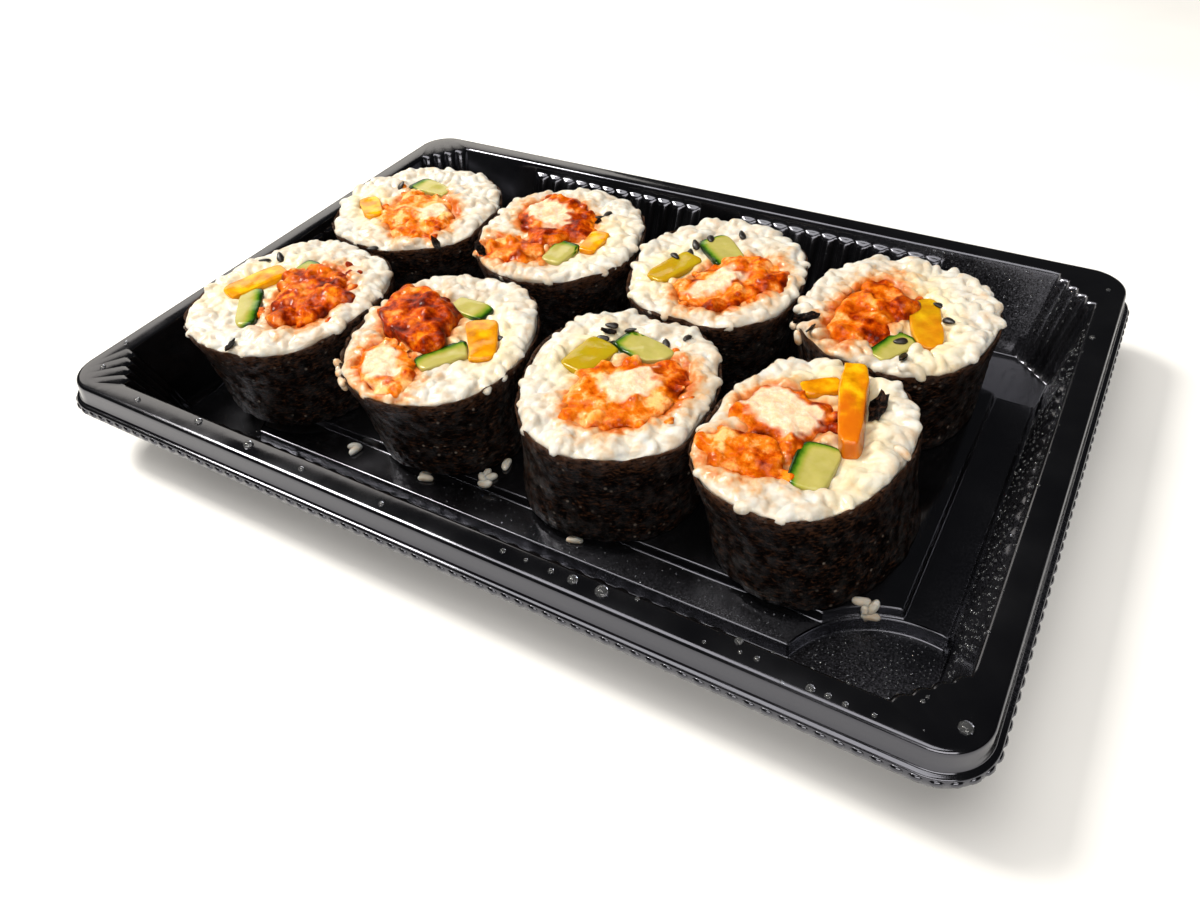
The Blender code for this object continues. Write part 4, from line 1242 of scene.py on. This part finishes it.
def make_flakes(rolls, surface, mat):
    """Torn scraps of seaweed, thin and curled."""
    copies = []
    for number, (name, x, y, turn, length) in enumerate(FLAKES):
        rng = random.Random(number + 40)
        outline = []
        for angle in round_angles(18):
            reach = rng.uniform(0.8, 1.15)
            outline.append((math.cos(angle) * length / 2 * reach, math.sin(angle) * length * 0.2 * reach))
        rows = [[(u * s, v * s, lift + 0.035 * u * u + 0.1 * v * v) for u, v in outline]
                for s, lift in ((0.5, 0.25), (1.0, 0.25), (1.0, 0.5), (0.5, 0.5))]
        flake = make_loft("flake", rows, mat)
        copies.append(lay(flake, surface, rolls[name].x + x, rolls[name].y + y, turn))
        remove(flake)
    piece = join_pieces("seaweed_flakes", copies, mat)
    set_attributes(piece, edge=0.0)
    return piece


def make_loose_grains(rolls, grain, tray, food, mat):
    """Grains on the tray's floor, and more that cling to the sides of the rolls."""
    copies = [lay(grain, tray, x, y, turn, sink=-0.9, size=0.78) for x, y, turn in LOOSE_GRAINS]
    for name, direction, drop, turn in SIDE_GRAINS:
        roll = rolls[name]
        out = Vector((*turned(1.0, 0.0, direction), 0.0))
        start_x, start_y = roll.x + WELL_CLEAR * out.x, roll.y + WELL_CLEAR * out.y
        copies.append(lay(grain, food, start_x, start_y, turn, sink=-0.9, size=0.8, height=FACE_Z - drop, way=-out))
    piece = join_pieces("loose_rice_grains", copies, mat)
    set_attributes(piece, stain=np.where(places_of(piece)[:, 2] > RIM_Z, 0.35, 0.0), gold=0.0)
    return piece


def make_mist(tray, drop, tree):
    """Fine condensation in the front right well, before the rolls, on the walls and on the rim."""
    made = []
    for number, (low, high, spacing, largest) in enumerate(MIST):
        bm = bmesh.new()
        bm.from_mesh(tray.data)
        outside = [f for f in bm.faces if f.normal.z < 0.05
                   or not all(low[k] < f.calc_center_median()[k] / MM < high[k] for k in range(3))]
        bmesh.ops.delete(bm, geom=outside, context="FACES")
        patch = show("patch", end_edit(bm, "patch"))
        set_attributes(patch, bare=0.8)
        run_tree(patch, tree, {"Shape": drop, "Spacing": spacing * MM, "Smallest": 0.4 * largest,
                               "Largest": largest, "Seed": number + 5})
        made.append(patch)
    return made


def make_drop(mat):
    """A bead of water one millimetre across, its foot just below the surface it lies on."""
    loops = [[(math.cos(t) / 2 * s, math.sin(t) / 2 * s, z * DROP_HEIGHT) for t in round_angles(8)]
             for s, z in ((0.9, -0.2), (1.0, 0.15), (0.82, 0.62), (0.45, 0.93))]
    return make_loft("drop", loops, mat)


def make_beads(mat):
    """The row of small beads that runs along the tray's lip."""
    bead = grain_shape("bead", *BEAD_SIZE, bend=0.0, rows=6)
    row = rim_loop(LIP_REACH - 0.8, RIM_Z - SKIRT_DROP - 1.3)
    mesh = bpy.data.meshes.new("lip_line")
    count = len(row)
    mesh.from_pydata([(x * MM, y * MM, z * MM) for x, y, z in row],
                     [(i, (i + 1) % count) for i in range(count)], [])
    line = show("tray_lip_beads", mesh)
    tree, given = new_tree("beads_along_the_lip", {"Shape": None, "Pitch": BEAD_PITCH * MM})
    path = add(tree, "GeometryNodeMeshToCurve", {"Mesh": given["Geometry"]})
    even = add(tree, "GeometryNodeResampleCurve", {"Curve": path.outputs["Curve"], "Length": given["Pitch"]},
               mode="LENGTH")
    along = add(tree, "GeometryNodeInputTangent")
    facing = add(tree, "FunctionNodeAlignRotationToVector", {"Vector": along.outputs["Tangent"]}, axis="X",
                 pivot_axis="Z")
    end_tree(tree, given["Shape"], mat, even.outputs["Curve"], facing.outputs["Rotation"])
    run_tree(line, tree, {"Shape": bead, "Pitch": BEAD_PITCH * MM})
    remove(bead)
    return line


# The studio


def set_camera():
    """The photograph's view: from close in front, right of the middle, looking down to the left."""
    data = bpy.data.cameras.new("camera")
    data.lens = 27.92
    data.sensor_width = 36.0
    data.clip_start = 0.01
    camera = show("camera", data)
    forward = Vector((-0.40312, 0.62210, -0.67118)).normalized()
    right = forward.cross(Vector((-0.29977, 0.60319, 0.73912))).normalized()
    up = right.cross(forward)
    turn = Matrix((right, up, -forward)).transposed().to_4x4()
    camera.matrix_world = Matrix.Translation(Vector((0.10078, -0.16127, 0.15402))) @ turn
    bpy.context.scene.camera = camera


def add_softbox(name, place, size, power, tint):
    data = bpy.data.lights.new(name, "AREA")
    data.shape = "RECTANGLE"
    data.size, data.size_y = size
    data.energy = power
    data.color = colour(tint)[:3]
    light = show(name, data)
    light.location = place
    light.rotation_euler = (Vector((0, 0, 0.02)) - Vector(place)).to_track_quat("-Z", "Y").to_euler()


def set_studio():
    world = bpy.data.worlds.new("studio")
    world.use_nodes = True
    feed(world.node_tree, world.node_tree.nodes["Background"], {"Color": colour("E8EBF2"), "Strength": 0.04})
    bpy.context.scene.world = world
    bpy.context.scene.view_settings.view_transform = "Standard"
    add_softbox("window", (-0.84, 0.60, 0.44), (0.95, 0.44), 2.4, "FFF8EA")
    add_softbox("key", (-0.68, -0.05, 0.86), (0.3, 0.3), 13.0, "FFFAF0")
    add_softbox("overhead", (-0.10, -0.22, 1.1), (1.1, 0.6), 9.5, "FFFBF4")
    add_softbox("front_fill", (0.5, -0.9, 0.5), (0.9, 0.5), 8.5, "FFFAF2")
    mesh = bpy.data.meshes.new("floor")
    mesh.from_pydata([(-3, -3, 0), (3, -3, 0), (3, 3, 0), (-3, 3, 0)], [], [(0, 1, 2, 3)])
    mesh.materials.append(table_top())
    show("floor", mesh)


def main():
    mats = {"seaweed": seaweed(), "rice": rice(), "chicken": fried_chicken(), "radish": pickled_radish(),
            "cucumber": cut_cucumber()}
    plastic, wet = tray_plastic(), water()
    tray = make_tray(plastic)
    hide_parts("tray")
    beads = make_beads(plastic)
    grain = grain_shape("grain", *GRAIN_SIZE, bend=0.35)
    grain.data.transform(Matrix.Translation((0, 0, -GRAIN_SUNK * MM)))
    grain_tree = scatter_tree("grains_on_a_face", mats["rice"], 0.3)
    food = []
    for seed, roll in enumerate(ROLLS, start=3):
        food += make_roll(roll, mats, grain_tree, grain, seed)
    rolls = {roll.name: roll for roll in ROLLS}
    on_food, on_tray = surface_of(food), surface_of([tray])
    drop = make_drop(wet)
    large_drops = [lay(drop, on_tray, x, y, 37 * i, sink=0.12, size=size)
                   for i, (x, y, size) in enumerate(RIM_DROPS)]
    extras = [make_seeds(rolls, on_food, black_sesame()), make_flakes(rolls, on_food, mats["seaweed"]),
              make_loose_grains(rolls, grain, on_tray, on_food, mats["rice"]),
              join_pieces("rim_water_drops", large_drops, wet),
              join_pieces("condensation", make_mist(tray, drop, scatter_tree("fine_drops", wet, 0.0)), wet)]
    remove(grain, drop)
    for piece in [tray, beads, *food, *extras]:
        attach(piece, "root")
    set_camera()
    set_studio()


main()
